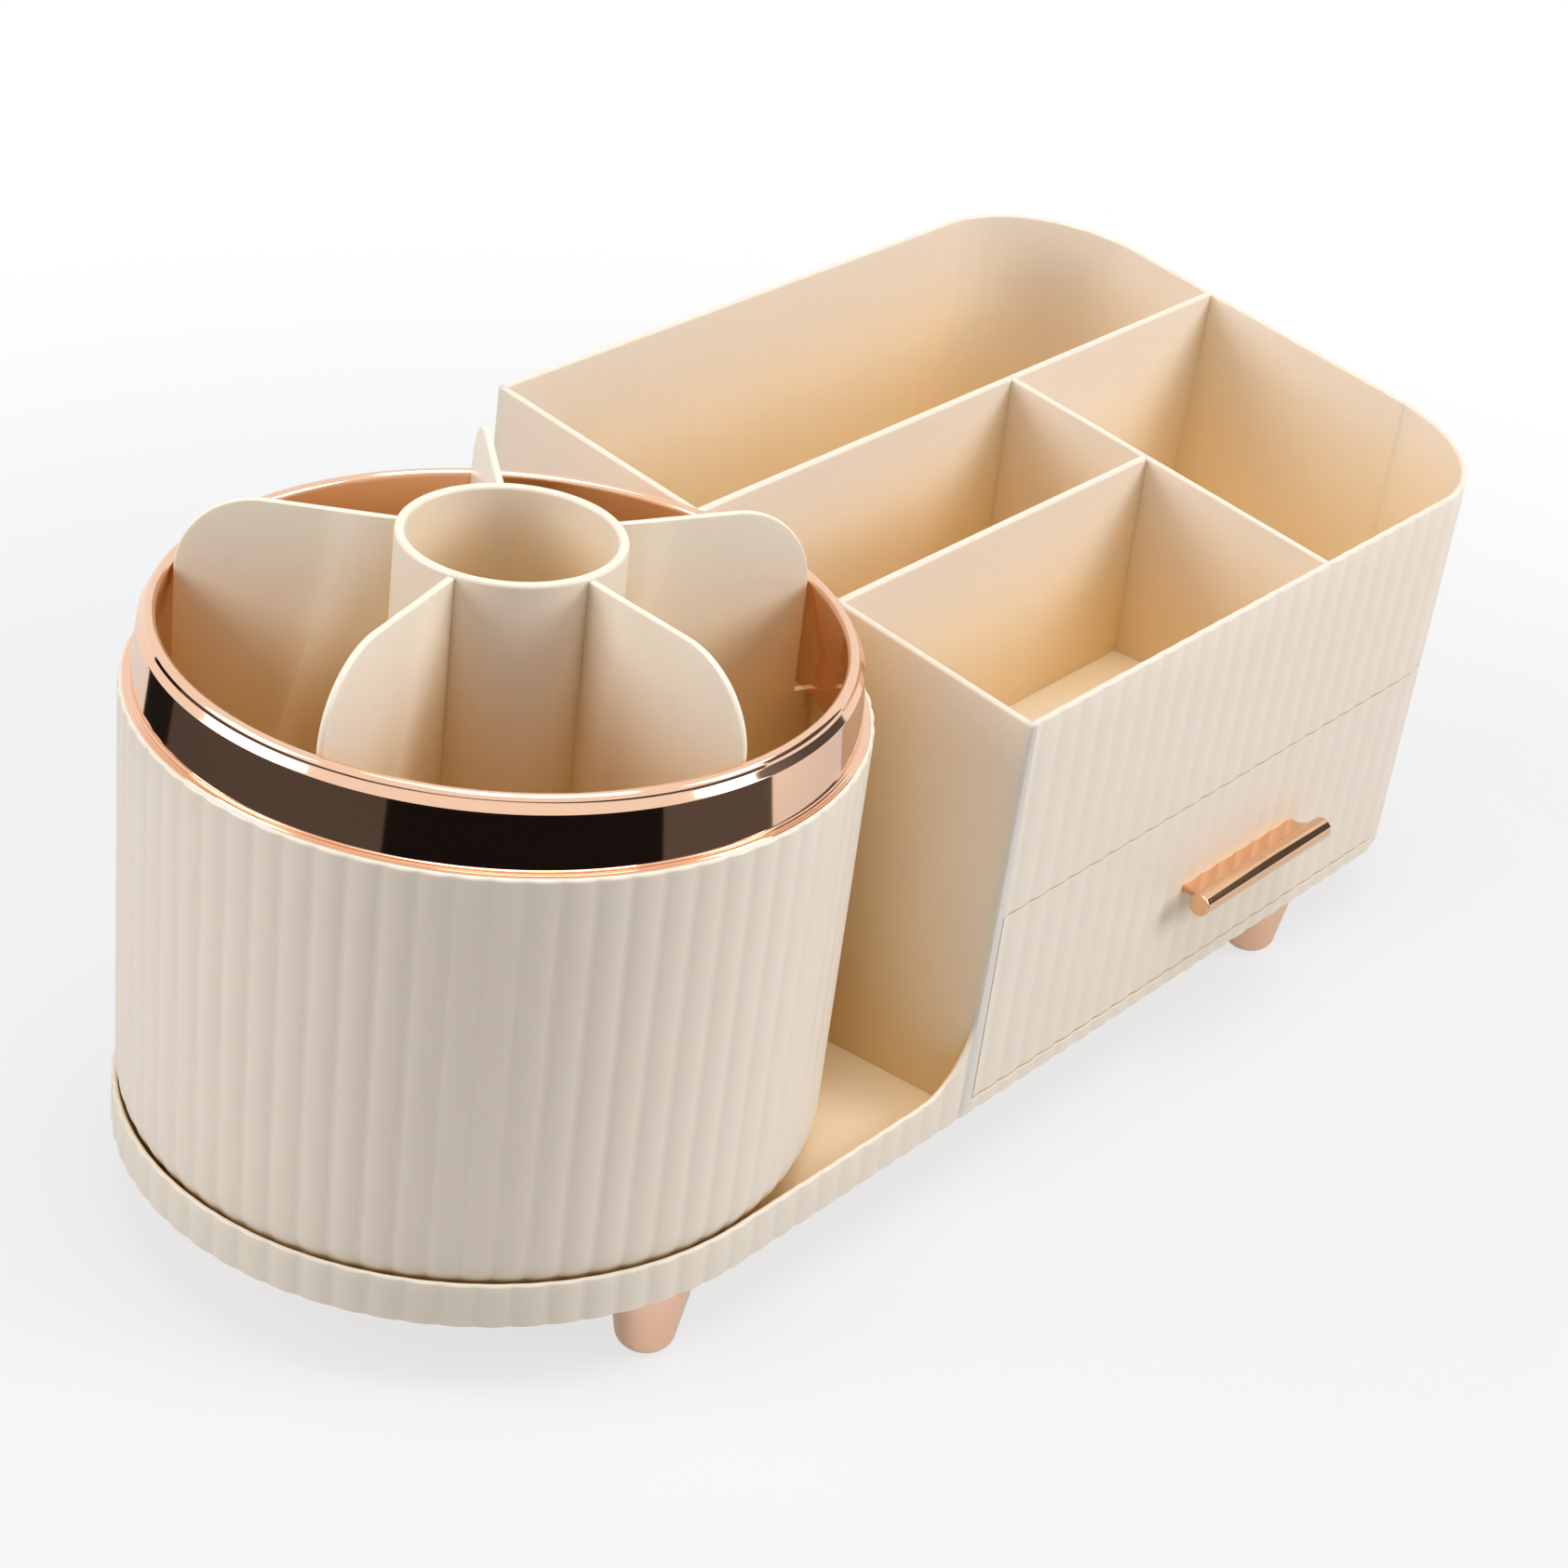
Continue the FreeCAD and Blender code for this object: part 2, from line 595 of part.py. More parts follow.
def make_handle():
    """Bar on a flat plate, one casting with two tabs."""
    y, z, plate_low, plate_high = handle_levels()
    r = HANDLE_BAR_R
    x0 = HANDLE_X - HANDLE_LENGTH / 2.0
    bar = Part.makeCylinder(r, HANDLE_LENGTH, V(x0, y, z), V(1, 0, 0))
    bar = bar.makeFillet(r * 0.35, [e for e in bar.Edges if e.Curve.TypeId == "Part::GeomCircle"])
    half = HANDLE_PLATE_WIDTH / 2.0
    face_y = -half_width(z) + FLUTE_DEPTH
    n = HANDLE_NECK_R
    turn = n * (1 - math.sqrt(0.5))
    neck_y = y + r
    edges = []
    for side in (-1, 1):
        a = HANDLE_X + side * (half + n)
        b = HANDLE_X + side * half
        start = V(a, neck_y - 0.5, plate_low)
        foot = V(a, neck_y, plate_low)
        waist = V(b, neck_y + n, plate_low)
        mid = V(a - side * (n - turn), neck_y + turn, plate_low)
        edges.append((start, foot, mid, waist, V(b, face_y, plate_low)))
    left, right = edges
    outline = [Part.LineSegment(left[0], left[1]).toShape(), Part.Arc(left[1], left[2], left[3]).toShape()]
    outline += [Part.LineSegment(left[3], left[4]).toShape(), Part.LineSegment(left[4], right[4]).toShape()]
    outline += [Part.LineSegment(right[4], right[3]).toShape(), Part.Arc(right[3], right[2], right[1]).toShape()]
    outline += [Part.LineSegment(right[1], right[0]).toShape(), Part.LineSegment(right[0], left[0]).toShape()]
    plate = Part.Face(Part.Wire(outline)).extrude(V(0, 0, plate_high - plate_low))
    plate = plate.cut(fluted_block(plate_low - 2, plate_high + 2))
    tabs = handle_tabs(0.0)
    return bar.fuse([plate, tabs])


def make_handle_clips():
    """Two push-on plates that hold the handle's tabs inside the drawer."""
    y, z, plate_low, plate_high = handle_levels()
    wall = -half_width(plate_high + CLIP_MARGIN) + FRONT_THICKNESS + TRAY_WALL
    clips = []
    for side in (-0.5, 0.5):
        x = HANDLE_X + side * TAB_SPACING
        half = TAB_WIDTH / 2.0 + CLIP_MARGIN
        plate = box(x - half, x + half, wall + 0.1, wall + 0.1 + CLIP_THICKNESS,
                    plate_low - CLIP_MARGIN, plate_high + CLIP_MARGIN)
        clips.append(plate.cut(handle_tabs(SCREW_GAP)))
    return Part.makeCompound(clips)


def groove():
    """Track of the balls, cut into both races: a V that clears a ball by the ball gap."""
    reach = (BALL_R + BALL_GAP) * math.sqrt(2.0)
    corners = [(RACE_R - reach, BALL_Z), (RACE_R, BALL_Z - reach), (RACE_R + reach, BALL_Z)]
    corners += [(RACE_R, BALL_Z + reach), (RACE_R - reach, BALL_Z)]
    return revolve(polyline(corners), DRUM_X, 0)


def make_race(low_z):
    """One race of the turntable, a flat ring with a ball groove."""
    inner = RACE_R - RACE_HALF_WIDTH
    outer = RACE_R + RACE_HALF_WIDTH
    return ring(DRUM_X, 0, low_z, low_z + RACE_THICKNESS, inner, outer).cut(groove())


def ball_positions():
    """Centres of the balls round the race."""
    for k in range(BALL_COUNT):
        angle = 2 * math.pi * k / BALL_COUNT
        yield DRUM_X + RACE_R * math.cos(angle), RACE_R * math.sin(angle)


def make_ball_cage():
    """Thin ring that spaces the balls."""
    low = BALL_Z - CAGE_THICKNESS / 2.0
    high = BALL_Z + CAGE_THICKNESS / 2.0
    cage = ring(DRUM_X, 0, low, high, RACE_R - CAGE_HALF_WIDTH, RACE_R + CAGE_HALF_WIDTH)
    for x, y in ball_positions():
        cage = cage.cut(disc(x, y, low - 1, high + 1, BALL_R + BALL_GAP))
    return cage


def make_balls():
    """Loose balls of the turntable."""
    return Part.makeCompound([Part.makeSphere(BALL_R, V(x, y, BALL_Z)) for x, y in ball_positions()])


def drum_track(z, radius):
    """Circle of the drum at one height."""
    track = Track(z)
    track.arc((DRUM_X, 0), radius, 0, 360)
    return track


def drum_inner_r(z):
    """Inside radius of the drum wall at height z."""
    return DRUM_MOUTH_R - DRUM_DRAFT * (DRUM_TOP_Z - z)


def make_drum():
    """Fluted drum with a rounded foot, a floor over the turntable and its hub."""
    levels = []
    for degrees in (0, 30, 60, 90):
        angle = math.radians(degrees)
        z = DRUM_ROUND_Z - DRUM_FOOT_R * math.cos(angle)
        radius = DRUM_LOW_R - DRUM_FOOT_R * (1 - math.sin(angle))
        levels.append((z, radius, FLUTE_DEPTH * (0.35 + 0.65 * math.sin(angle))))
    levels.append((DRUM_TOP_Z, DRUM_TOP_R, FLUTE_DEPTH))
    wires = []
    for z, radius, depth in levels:
        track = drum_track(z, radius)
        valleys = [track.length * k / DRUM_FLUTES for k in range(DRUM_FLUTES)]
        wires.append(track.fluted_wire(valleys, depth))
    drum = Part.makeLoft(wires, True, True)

    # Inside over the floor, with a rounded foot that follows the outside
    foot_r = DRUM_FOOT_R - DRUM_WALL
    low = DRUM_INSIDE_Z
    side = drum_inner_r(low + foot_r)
    turn = foot_r * (1 - math.sqrt(0.5))
    edges = [arc_rz((side - foot_r, low), (side - turn, low + turn), (side, low + foot_r))]
    top = DRUM_TOP_Z + 1
    edges += polyline([(side, low + foot_r), (drum_inner_r(top), top), (0, top), (0, low), (side - foot_r, low)])
    drum = drum.cut(revolve(edges, DRUM_X, 0))

    # Recess for the turntable under the floor
    drum = drum.cut(disc(DRUM_X, 0, DRUM_BOTTOM_Z - 1, DRUM_FLOOR_Z, RECESS_R))
    rib_r = RACE_R - RACE_HALF_WIDTH - LOCATING_GAP
    rib = ring(DRUM_X, 0, DRUM_FLOOR_Z - LOCATING_RIB, DRUM_FLOOR_Z + 0.5, rib_r - LOCATING_RIB, rib_r)
    hub_end = BASE_Z - BOSS_DROP - HUB_PROUD
    hub = disc(DRUM_X, 0, hub_end, DRUM_FLOOR_Z + 0.5, HUB_R)
    drum = drum.fuse([rib, hub])
    pilot = disc(DRUM_X, 0, hub_end - 1, hub_end + PIVOT_SCREW_LENGTH - WASHER_THICKNESS + 1, PIVOT_SCREW_R + SCREW_GAP)
    return drum.cut(pilot)


def make_pivot_washer():
    """Washer that holds the drum's hub in the boss."""
    top = BASE_Z - BOSS_DROP - HUB_PROUD
    return ring(DRUM_X, 0, top - WASHER_THICKNESS, top, PIVOT_SCREW_R + SCREW_GAP, WASHER_R)


def make_pivot_screw():
    """Pan-head screw up into the hub."""
    seat = BASE_Z - BOSS_DROP - HUB_PROUD - WASHER_THICKNESS
    h = PIVOT_HEAD_HEIGHT
    r = PIVOT_HEAD_R
    edges = [arc_rz((r * 0.55, seat - h), (r * 0.9, seat - h * 0.7), (r, seat))]
    tip = seat + PIVOT_SCREW_LENGTH
    edges += polyline([(r, seat), (PIVOT_SCREW_R, seat), (PIVOT_SCREW_R, tip), (0, tip), (0, seat - h), (r * 0.55, seat - h)])
    screw = revolve(edges, DRUM_X, 0)
    for a, b in ((r * 0.5, SCREW_SLOT / 2), (SCREW_SLOT / 2, r * 0.5)):
        screw = screw.cut(box(DRUM_X - a, DRUM_X + a, -b, b, seat - h - 1, seat - h + SCREW_SLOT))
    return screw


def make_divider_insert():
    """Brush tube with five vanes on a round floor, dropped into the drum."""
    low = DRUM_INSIDE_Z
    floor_z = low + INSERT_FLOOR
    tube_top = BASE_Z + TUBE_HEIGHT
    vane_top = BASE_Z + VANE_HEIGHT
    upper_r = RING_TOP_R - RING_BAND - VANE_RING_GAP
    step_z = RING_FOOT_Z
    corner_z = vane_top - VANE_CORNER_R
    turn = VANE_CORNER_R * (1 - math.sqrt(0.5))
    foot_r = DRUM_FOOT_R - DRUM_WALL
    low_r = drum_inner_r(low + foot_r) - VANE_WALL_GAP
    foot_turn = foot_r * (1 - math.sqrt(0.5))
    wide_r = drum_inner_r(step_z) - VANE_WALL_GAP
    root_r = TUBE_R - TUBE_WALL / 2.0
    edges = [arc_rz((upper_r, corner_z), (upper_r - turn, vane_top - turn), (upper_r - VANE_CORNER_R, vane_top))]
    edges += polyline([(upper_r - VANE_CORNER_R, vane_top), (root_r, vane_top), (root_r, low), (low_r - foot_r, low)])
    edges.append(arc_rz((low_r - foot_r, low), (low_r - foot_turn, low + foot_turn), (low_r, low + foot_r)))
    edges += polyline([(low_r, low + foot_r), (wide_r, step_z), (upper_r, step_z), (upper_r, corner_z)])
    outline = Part.Face(Part.Wire(edges))
    outline.translate(V(0, -VANE_THICKNESS / 2.0, 0))
    vane = outline.extrude(V(0, VANE_THICKNESS, 0))
    vanes = []
    for k in range(VANE_COUNT):
        copy = vane.copy()
        copy.rotate(V(0, 0, 0), V(0, 0, 1), VANE_START_DEG + 360.0 * k / VANE_COUNT)
        copy.translate(DRUM_CENTRE)
        vanes.append(copy)
    tube = ring(DRUM_X, 0, low, tube_top, TUBE_R - TUBE_WALL, TUBE_R)
    tube = tube.makeFillet(TUBE_WALL * 0.4, [e for e in tube.Edges if abs(e.BoundBox.ZMin - tube_top) < 1e-6])
    floor = disc(DRUM_X, 0, low, floor_z, low_r - foot_r)
    return tube.fuse(vanes + [floor])


def make_trim_ring():
    """Bright ring on the drum: rounded top, sloping shoulder, flared outside, skirt inside the drum."""
    top = RING_TOP_Z
    foot = DRUM_TOP_Z
    outer = DRUM_TOP_R - RING_LEDGE
    r = RING_BAND / 2.0
    inner = RING_TOP_R - RING_BAND
    skirt_out = DRUM_MOUTH_R - RING_FIT
    skirt_in = skirt_out - RING_SKIRT_WALL
    bead_r = outer + RING_BEAD / 2.0
    edges = [arc_rz((RING_TOP_R, top - r), (RING_TOP_R - r, top), (inner, top - r))]
    points = [(inner, top - r), (skirt_in, foot), (skirt_in, RING_FOOT_Z)]
    points += [(skirt_out - DRUM_DRAFT * RING_SKIRT, RING_FOOT_Z), (skirt_out, foot), (outer, foot)]
    edges += polyline(points)
    edges += polyline([(outer, foot), (bead_r, foot), (bead_r, foot + RING_BEAD / 2.0), (outer, foot + RING_BEAD)])
    shoulder = (RING_TOP_R + RING_SHOULDER, top - r - RING_SHOULDER_DROP)
    edges += polyline([(outer, foot + RING_BEAD), shoulder, (RING_TOP_R, top - r)])
    trim = revolve(edges, DRUM_X, 0)
    notch = box(skirt_in - 3, skirt_out + 1, -RING_NOTCH_WIDTH / 2.0, RING_NOTCH_WIDTH / 2.0,
                RING_FOOT_Z - 1, RING_FOOT_Z + RING_NOTCH_HEIGHT)
    for k in range(VANE_COUNT):
        copy = notch.copy()
        copy.rotate(V(0, 0, 0), V(0, 0, 1), VANE_START_DEG + 360.0 * k / VANE_COUNT + 6.0)
        copy.translate(DRUM_CENTRE)
        trim = trim.cut(copy)
    return trim


def frame_shift():
    """Move that puts the frame's origin under the middle of the object's box."""
    high = RIM_MID_Z + RIM_SLOPE * CASE_HALF_WIDTH
    handle_y = handle_levels()[0] - HANDLE_BAR_R
    end_top = RIM_MID_Z + RIM_SLOPE * (CASE_HALF_WIDTH - BACK_CORNER_R)
    middle_x = (DRUM_X - DRUM_TOP_R + end_face_x(end_top)) / 2.0
    return V(-middle_x, -(half_width(high) + handle_y) / 2.0, 0)


def build():
    """Every piece of the organizer, by name."""
    nodes = {}
    nodes["case_shell"] = make_case()
    nodes["compartment_insert"] = make_insert()
    for name, (x, y) in foot_positions().items():
        nodes[name] = make_foot(x, y)
    nodes["foot_screws"] = make_foot_screws()
    nodes["turntable_lower_race"] = make_race(FLOOR_Z)
    nodes["turntable_upper_race"] = make_race(DRUM_FLOOR_Z - RACE_THICKNESS)
    nodes["turntable_ball_cage"] = make_ball_cage()
    nodes["turntable_balls"] = make_balls()
    nodes["drum_shell"] = make_drum()
    nodes["pivot_washer"] = make_pivot_washer()
    nodes["pivot_screw"] = make_pivot_screw()
    nodes["divider_insert"] = make_divider_insert()
    nodes["trim_ring"] = make_trim_ring()
    nodes["drawer_front"] = make_drawer_front()
    nodes["drawer_tray"] = make_drawer_tray()
    nodes["drawer_handle"] = make_handle()
    nodes["handle_clips"] = make_handle_clips()
    return nodes


def main():
    os.makedirs("parts", exist_ok=True)
    shift = frame_shift()
    for name, shape in build().items():
        shape.translate(shift)
        shape.exportStep("parts/%s.step" % name)


main()
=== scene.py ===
"""Rotating makeup organizer: fluted case, divided drum, compartments and a wrapped drawer."""
import logging
import math
from dataclasses import dataclass, field
from enum import Enum
from typing import Callable, Optional

import bmesh
import bpy
import numpy as np
from mathutils import Matrix, Vector


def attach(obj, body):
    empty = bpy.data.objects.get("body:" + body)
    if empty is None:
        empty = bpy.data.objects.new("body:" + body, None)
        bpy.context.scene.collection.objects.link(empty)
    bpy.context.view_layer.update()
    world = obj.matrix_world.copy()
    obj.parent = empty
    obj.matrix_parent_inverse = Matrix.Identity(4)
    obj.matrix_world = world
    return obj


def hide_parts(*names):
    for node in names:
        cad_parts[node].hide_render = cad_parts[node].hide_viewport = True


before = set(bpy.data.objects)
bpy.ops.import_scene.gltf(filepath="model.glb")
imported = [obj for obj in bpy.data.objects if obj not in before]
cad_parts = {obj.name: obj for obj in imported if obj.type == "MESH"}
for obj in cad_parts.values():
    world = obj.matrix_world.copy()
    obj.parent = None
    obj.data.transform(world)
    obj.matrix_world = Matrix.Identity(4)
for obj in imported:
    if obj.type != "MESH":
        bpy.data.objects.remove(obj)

logging.basicConfig(level=logging.INFO, format="%(name)s: %(message)s")
LOG = logging.getLogger("organizer")

MM = 0.001  # metres in a millimetre
FRAME_SHIFT = np.array([0.0679, 3.4981, 0.0])  # mm, from the case's own middle plane to the frame
MERGE = 1e-4  # mm, points nearer than this become one
CREASE = 32.0  # degrees, plastic edges that turn more stay sharp
METAL_CREASE = 40.0  # degrees, the same for the bright pieces

Array = np.ndarray
Number = Array | float
Socket = bpy.types.NodeSocket
Triple = tuple[float, float, float]
Edge = Callable[[Array], Array]  # flute numbers as a function of height


# --------------------------------------------------------------------------- mesh making


class Surface:
    """Gathers parametric patches, in mm, and turns them into one mesh object."""

    def __init__(self) -> None:
        """Start with no points and no faces."""
        self.points: list[Array] = []
        self.faces: list[list[int]] = []
        self.count = 0

    def _add(self, xyz: Array) -> int:
        """Store points.

        Args:
            xyz: points of shape (..., 3).

        Returns:
            Index of the first one.
        """
        start = self.count
        flat = xyz.reshape(-1, 3)
        self.points.append(flat)
        self.count += len(flat)
        return start

    def grid(self, xyz: Array, flip: bool = False, wrap_u: bool = False, wrap_v: bool = False) -> None:
        """Add a grid patch.

        Args:
            xyz: points of shape (u, v, 3); the faces look along du x dv.
            flip: turn the faces round.
            wrap_u: join the last row to the first.
            wrap_v: join the last column to the first.
        """
        start = self._add(xyz)
        index = np.arange(xyz.shape[0] * xyz.shape[1]).reshape(xyz.shape[:2]) + start
        if wrap_u:
            index = np.vstack([index, index[:1]])
        if wrap_v:
            index = np.hstack([index, index[:, :1]])
        quads = np.stack([index[:-1, :-1], index[1:, :-1], index[1:, 1:], index[:-1, 1:]], axis=-1)
        quads = quads.reshape(-1, 4)
        self.faces += (quads[:, ::-1] if flip else quads).tolist()

    def polygon(self, xyz: Array, flip: bool = False) -> None:
        """Add one flat face.

        Args:
            xyz: points of shape (n, 3), counter-clockwise seen from the face's front.
            flip: turn the face round.
        """
        start = self._add(xyz)
        order = list(range(start, start + len(xyz)))
        self.faces.append(order[::-1] if flip else order)

    def revolve(self, profile: Array, centre: tuple[float, float], steps: int,
                flute: Optional[Callable[[Array, Array], Array]] = None,
                lift: Optional[Callable[[Array, Array], Array]] = None) -> None:
        """Add a full turn of a closed profile about an upright axis.

        A point goes to x = cx + r cos a, y = cy + r sin a, z = z, for every angle a of the turn.

        Args:
            profile: (radius, z) points of shape (n, 2) or (n, 3), run so that the outside is
                on the right; a third column is a weight handed to flute or lift.
            centre: the axis, x and y.
            steps: points round the turn.
            flute: radius change as a function of angle and weight.
            lift: height change as a function of angle and weight.
        """
        angle = np.linspace(0, 2 * math.pi, steps, endpoint=False)[:, None]
        radius = np.broadcast_to(profile[:, 0][None, :], (steps, len(profile)))
        if flute is not None:
            radius = radius + flute(angle, profile[:, 2][None, :])
        z = np.broadcast_to(profile[:, 1][None, :], radius.shape)
        if lift is not None:
            z = z + lift(angle, profile[:, 2][None, :])
        xyz = np.stack([centre[0] + radius * np.cos(angle), centre[1] + radius * np.sin(angle), z], -1)
        self.grid(xyz, wrap_u=True)

    def block(self, low: Triple, high: Triple) -> None:
        """Add a rectangular block.

        Args:
            low: its corner with the least coordinates.
            high: its corner with the greatest.
        """
        x = np.array([low[0], high[0], high[0], low[0]])
        y = np.array([low[1], low[1], high[1], high[1]])
        rings = [np.stack([x, y, np.full(4, z)], -1) for z in (low[2], high[2])]
        self.grid(np.stack(rings, 1), wrap_u=True)
        self.polygon(rings[0], flip=True)
        self.polygon(rings[1])

    def make(self, name: str, crease: float = CREASE) -> bpy.types.Object:
        """Build the object, its place in its mesh.

        Args:
            name: the object's name.
            crease: edges that turn more than this many degrees stay sharp.

        Returns:
            The new object, linked to the scene.
        """
        xyz = (np.concatenate(self.points) + FRAME_SHIFT) * MM
        mesh = bpy.data.meshes.new(name)
        mesh.from_pydata(xyz.tolist(), [], self.faces)
        work = bmesh.new()
        work.from_mesh(mesh)
        bmesh.ops.remove_doubles(work, verts=work.verts, dist=MERGE * MM)
        bmesh.ops.dissolve_degenerate(work, edges=work.edges, dist=MERGE * MM)
        work.to_mesh(mesh)
        work.free()
        mesh.shade_smooth()
        mesh.set_sharp_from_angle(angle=math.radians(crease))
        piece = bpy.data.objects.new(name, mesh)
        bpy.context.scene.collection.objects.link(piece)
        return piece


def turn(centre: tuple[float, float], radius: float, start: float, end: float, steps: int) -> Array:
    """Points of an arc, centre + radius (cos a, sin a), in the (radius, z) plane.

    Args:
        centre: the arc's centre.
        radius: its radius.
        start: first angle in degrees.
        end: last angle.
        steps: spans between its points.

    Returns:
        Array of shape (steps + 1, 2).
    """
    angle = np.radians(np.linspace(start, end, steps + 1))
    return np.stack([centre[0] + radius * np.cos(angle), centre[1] + radius * np.sin(angle)], -1)


def half_turn(steps: int) -> tuple[Array, Array]:
    """The two shares that carry a wall over its rounded top.

    Across the top the share of the way from face to face is (1 - cos t) / 2, and the drop
    under the crown, in round radii, is 1 - sin t, for t from 0 to a half turn.

    Args:
        steps: points over the top.

    Returns:
        Share across and share of drop, each of shape (steps,).
    """
    t = np.linspace(0, math.pi, steps)
    return (1 - np.cos(t)) / 2, 1 - np.sin(t)


def place(piece: bpy.types.Object, body: str, slot: str, finish: "Finish", *nodes: str) -> None:
    """Ride a finished piece on its body, stand it for its nodes, dress it and log it.

    Args:
        piece: the new object.
        body: the body that it moves with.
        slot: the record's material slot; not used.
        finish: the finish that it wears.
        nodes: CAD nodes that it replaces.
    """
    piece.data.materials.clear()
    piece.data.materials.append(finish.material())
    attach(piece, body)
    if nodes:
        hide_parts(*nodes)
    LOG.info("%s rides on %s, %d faces", piece.name, body, len(piece.data.polygons))


# --------------------------------------------------------------------------- finishes


class Slot(str, Enum):
    """Material slots of the record, handed to the new pieces but not set on them."""

    IVORY = "ivory_plastic"
    PLATE = "rose_gold_plate"
    METAL = "rose_gold_metal"


class NodeBook:
    """Adds and joins the nodes of one tree."""

    def __init__(self, tree: bpy.types.NodeTree, output: str = "ShaderNodeOutputMaterial") -> None:
        """Empty a tree and give it an output.

        Args:
            tree: the material's or the world's tree.
            output: kind of its output node.
        """
        self.tree = tree
        self.tree.nodes.clear()
        self.output = self.tree.nodes.new(output)

    def feed(self, target: Socket, source: object) -> None:
        """Join an input to an output, or set it to a value.

        Args:
            target: the input.
            source: an output, a number or a colour.
        """
        if isinstance(source, bpy.types.NodeSocket):
            self.tree.links.new(source, target)
        else:
            target.default_value = source

    def add(self, kind: str, **inputs: object) -> bpy.types.Node:
        """Add a node.

        Args:
            kind: the node's type.
            inputs: its inputs by name, with spaces written as underscores.

        Returns:
            The new node.
        """
        node = self.tree.nodes.new(kind)
        for key, source in inputs.items():
            self.feed(node.inputs[key.replace("_", " ")], source)
        return node

    def place(self) -> Socket:
        """Coordinates on the object, in metres."""
        return self.add("ShaderNodeTexCoord").outputs["Object"]

    def noise(self, where: Socket, scale: float, detail: float, roughness: float = 0.5) -> Socket:
        """Add a soft noise.

        Args:
            where: coordinates.
            scale: grains in a metre.
            detail: octaves.
            roughness: share that each octave keeps.

        Returns:
            The noise, about 0 to 1.
        """
        values = {"Vector": where, "Scale": scale, "Detail": detail, "Roughness": roughness}
        return self.add("ShaderNodeTexNoise", **values).outputs["Fac"]

    def spread(self, value: Socket, low: object, high: float,
               span: tuple[float, float] = (0.0, 1.0), smooth: bool = False) -> Socket:
        """Carry a value from one range to another.

        Args:
            value: the value.
            low: result at the start of the span, a number or an output.
            high: result at its end.
            span: the range that the value runs over.
            smooth: ease in and out.

        Returns:
            The result.
        """
        node = self.add("ShaderNodeMapRange", Value=value, From_Min=span[0], From_Max=span[1],
                        To_Min=low, To_Max=high)
        if smooth:
            node.interpolation_type = "SMOOTHSTEP"
        return node.outputs["Result"]

    def blend(self, share: Socket, first: object, second: Triple, way: str = "MIX") -> Socket:
        """Blend two colours.

        Args:
            share: how much of the second shows.
            first: a colour, or the output that gives it.
            second: a colour.
            way: how the second meets the first.

        Returns:
            The blended colour.
        """
        node = self.tree.nodes.new("ShaderNodeMix")
        node.data_type = "RGBA"
        node.blend_type = way
        self.feed(node.inputs[0], share)
        self.feed(node.inputs[6], first if isinstance(first, bpy.types.NodeSocket) else (*first, 1))
        self.feed(node.inputs[7], (*second, 1))
        return node.outputs[2]

    def bump(self, height: Socket, strength: float, distance: float) -> Socket:
        """Add a fine relief.

        Args:
            height: the relief.
            strength: share of it that shows.
            distance: its depth in metres.

        Returns:
            The normal.
        """
        node = self.add("ShaderNodeBump", Height=height, Strength=strength, Distance=distance)
        return node.outputs["Normal"]

    def math(self, way: str, first: Socket, second: Socket) -> Socket:
        """Join two values.

        Args:
            way: the operation.
            first: one value.
            second: the other.

        Returns:
            The result.
        """
        node = self.tree.nodes.new("ShaderNodeMath")
        node.operation = way
        self.feed(node.inputs[0], first)
        self.feed(node.inputs[1], second)
        return node.outputs[0]

    def length(self, where: Socket) -> Socket:
        """Add the length of a vector.

        Args:
            where: the vector.

        Returns:
            Its length.
        """
        node = self.tree.nodes.new("ShaderNodeVectorMath")
        node.operation = "LENGTH"
        self.feed(node.inputs[0], where)
        return node.outputs["Value"]

    def sight(self) -> Socket:
        """Tell the rays that show a thing from those that only light it.

        Returns:
            1 for camera, glossy and transmission rays and 0 for all others.
        """
        rays = self.add("ShaderNodeLightPath").outputs
        direct = self.math("MAXIMUM", rays["Is Camera Ray"], rays["Is Glossy Ray"])
        return self.math("MAXIMUM", direct, rays["Is Transmission Ray"])

    def finish(self, shader: bpy.types.Node) -> None:
        """Join a shader to the output."""
        self.feed(self.output.inputs["Surface"], shader.outputs[0])

    def finish_mixed(self, share: Socket, first: bpy.types.Node, second: bpy.types.Node) -> None:
        """Join a mix of two shaders to the output.

        Args:
            share: how much of the second shows.
            first: one shader.
            second: the other.
        """
        mix = self.tree.nodes.new("ShaderNodeMixShader")
        for target, source in zip(mix.inputs, (share, first.outputs[0], second.outputs[0])):
            self.feed(target, source)
        self.finish(mix)


@dataclass(frozen=True)
class Finish:
    """A finish: each subclass builds its own material once."""

    name: str

    def material(self) -> bpy.types.Material:
        """Look the material up, and build it on first use.

        Returns:
            The material.
        """
        found = bpy.data.materials.get(self.name)
        if found is None:
            found = bpy.data.materials.new(self.name)
            found.use_nodes = True
            self.build(NodeBook(found.node_tree))
        return found

    def build(self, book: NodeBook) -> None:
        """Fill the node tree; overridden by each finish."""
        raise NotImplementedError


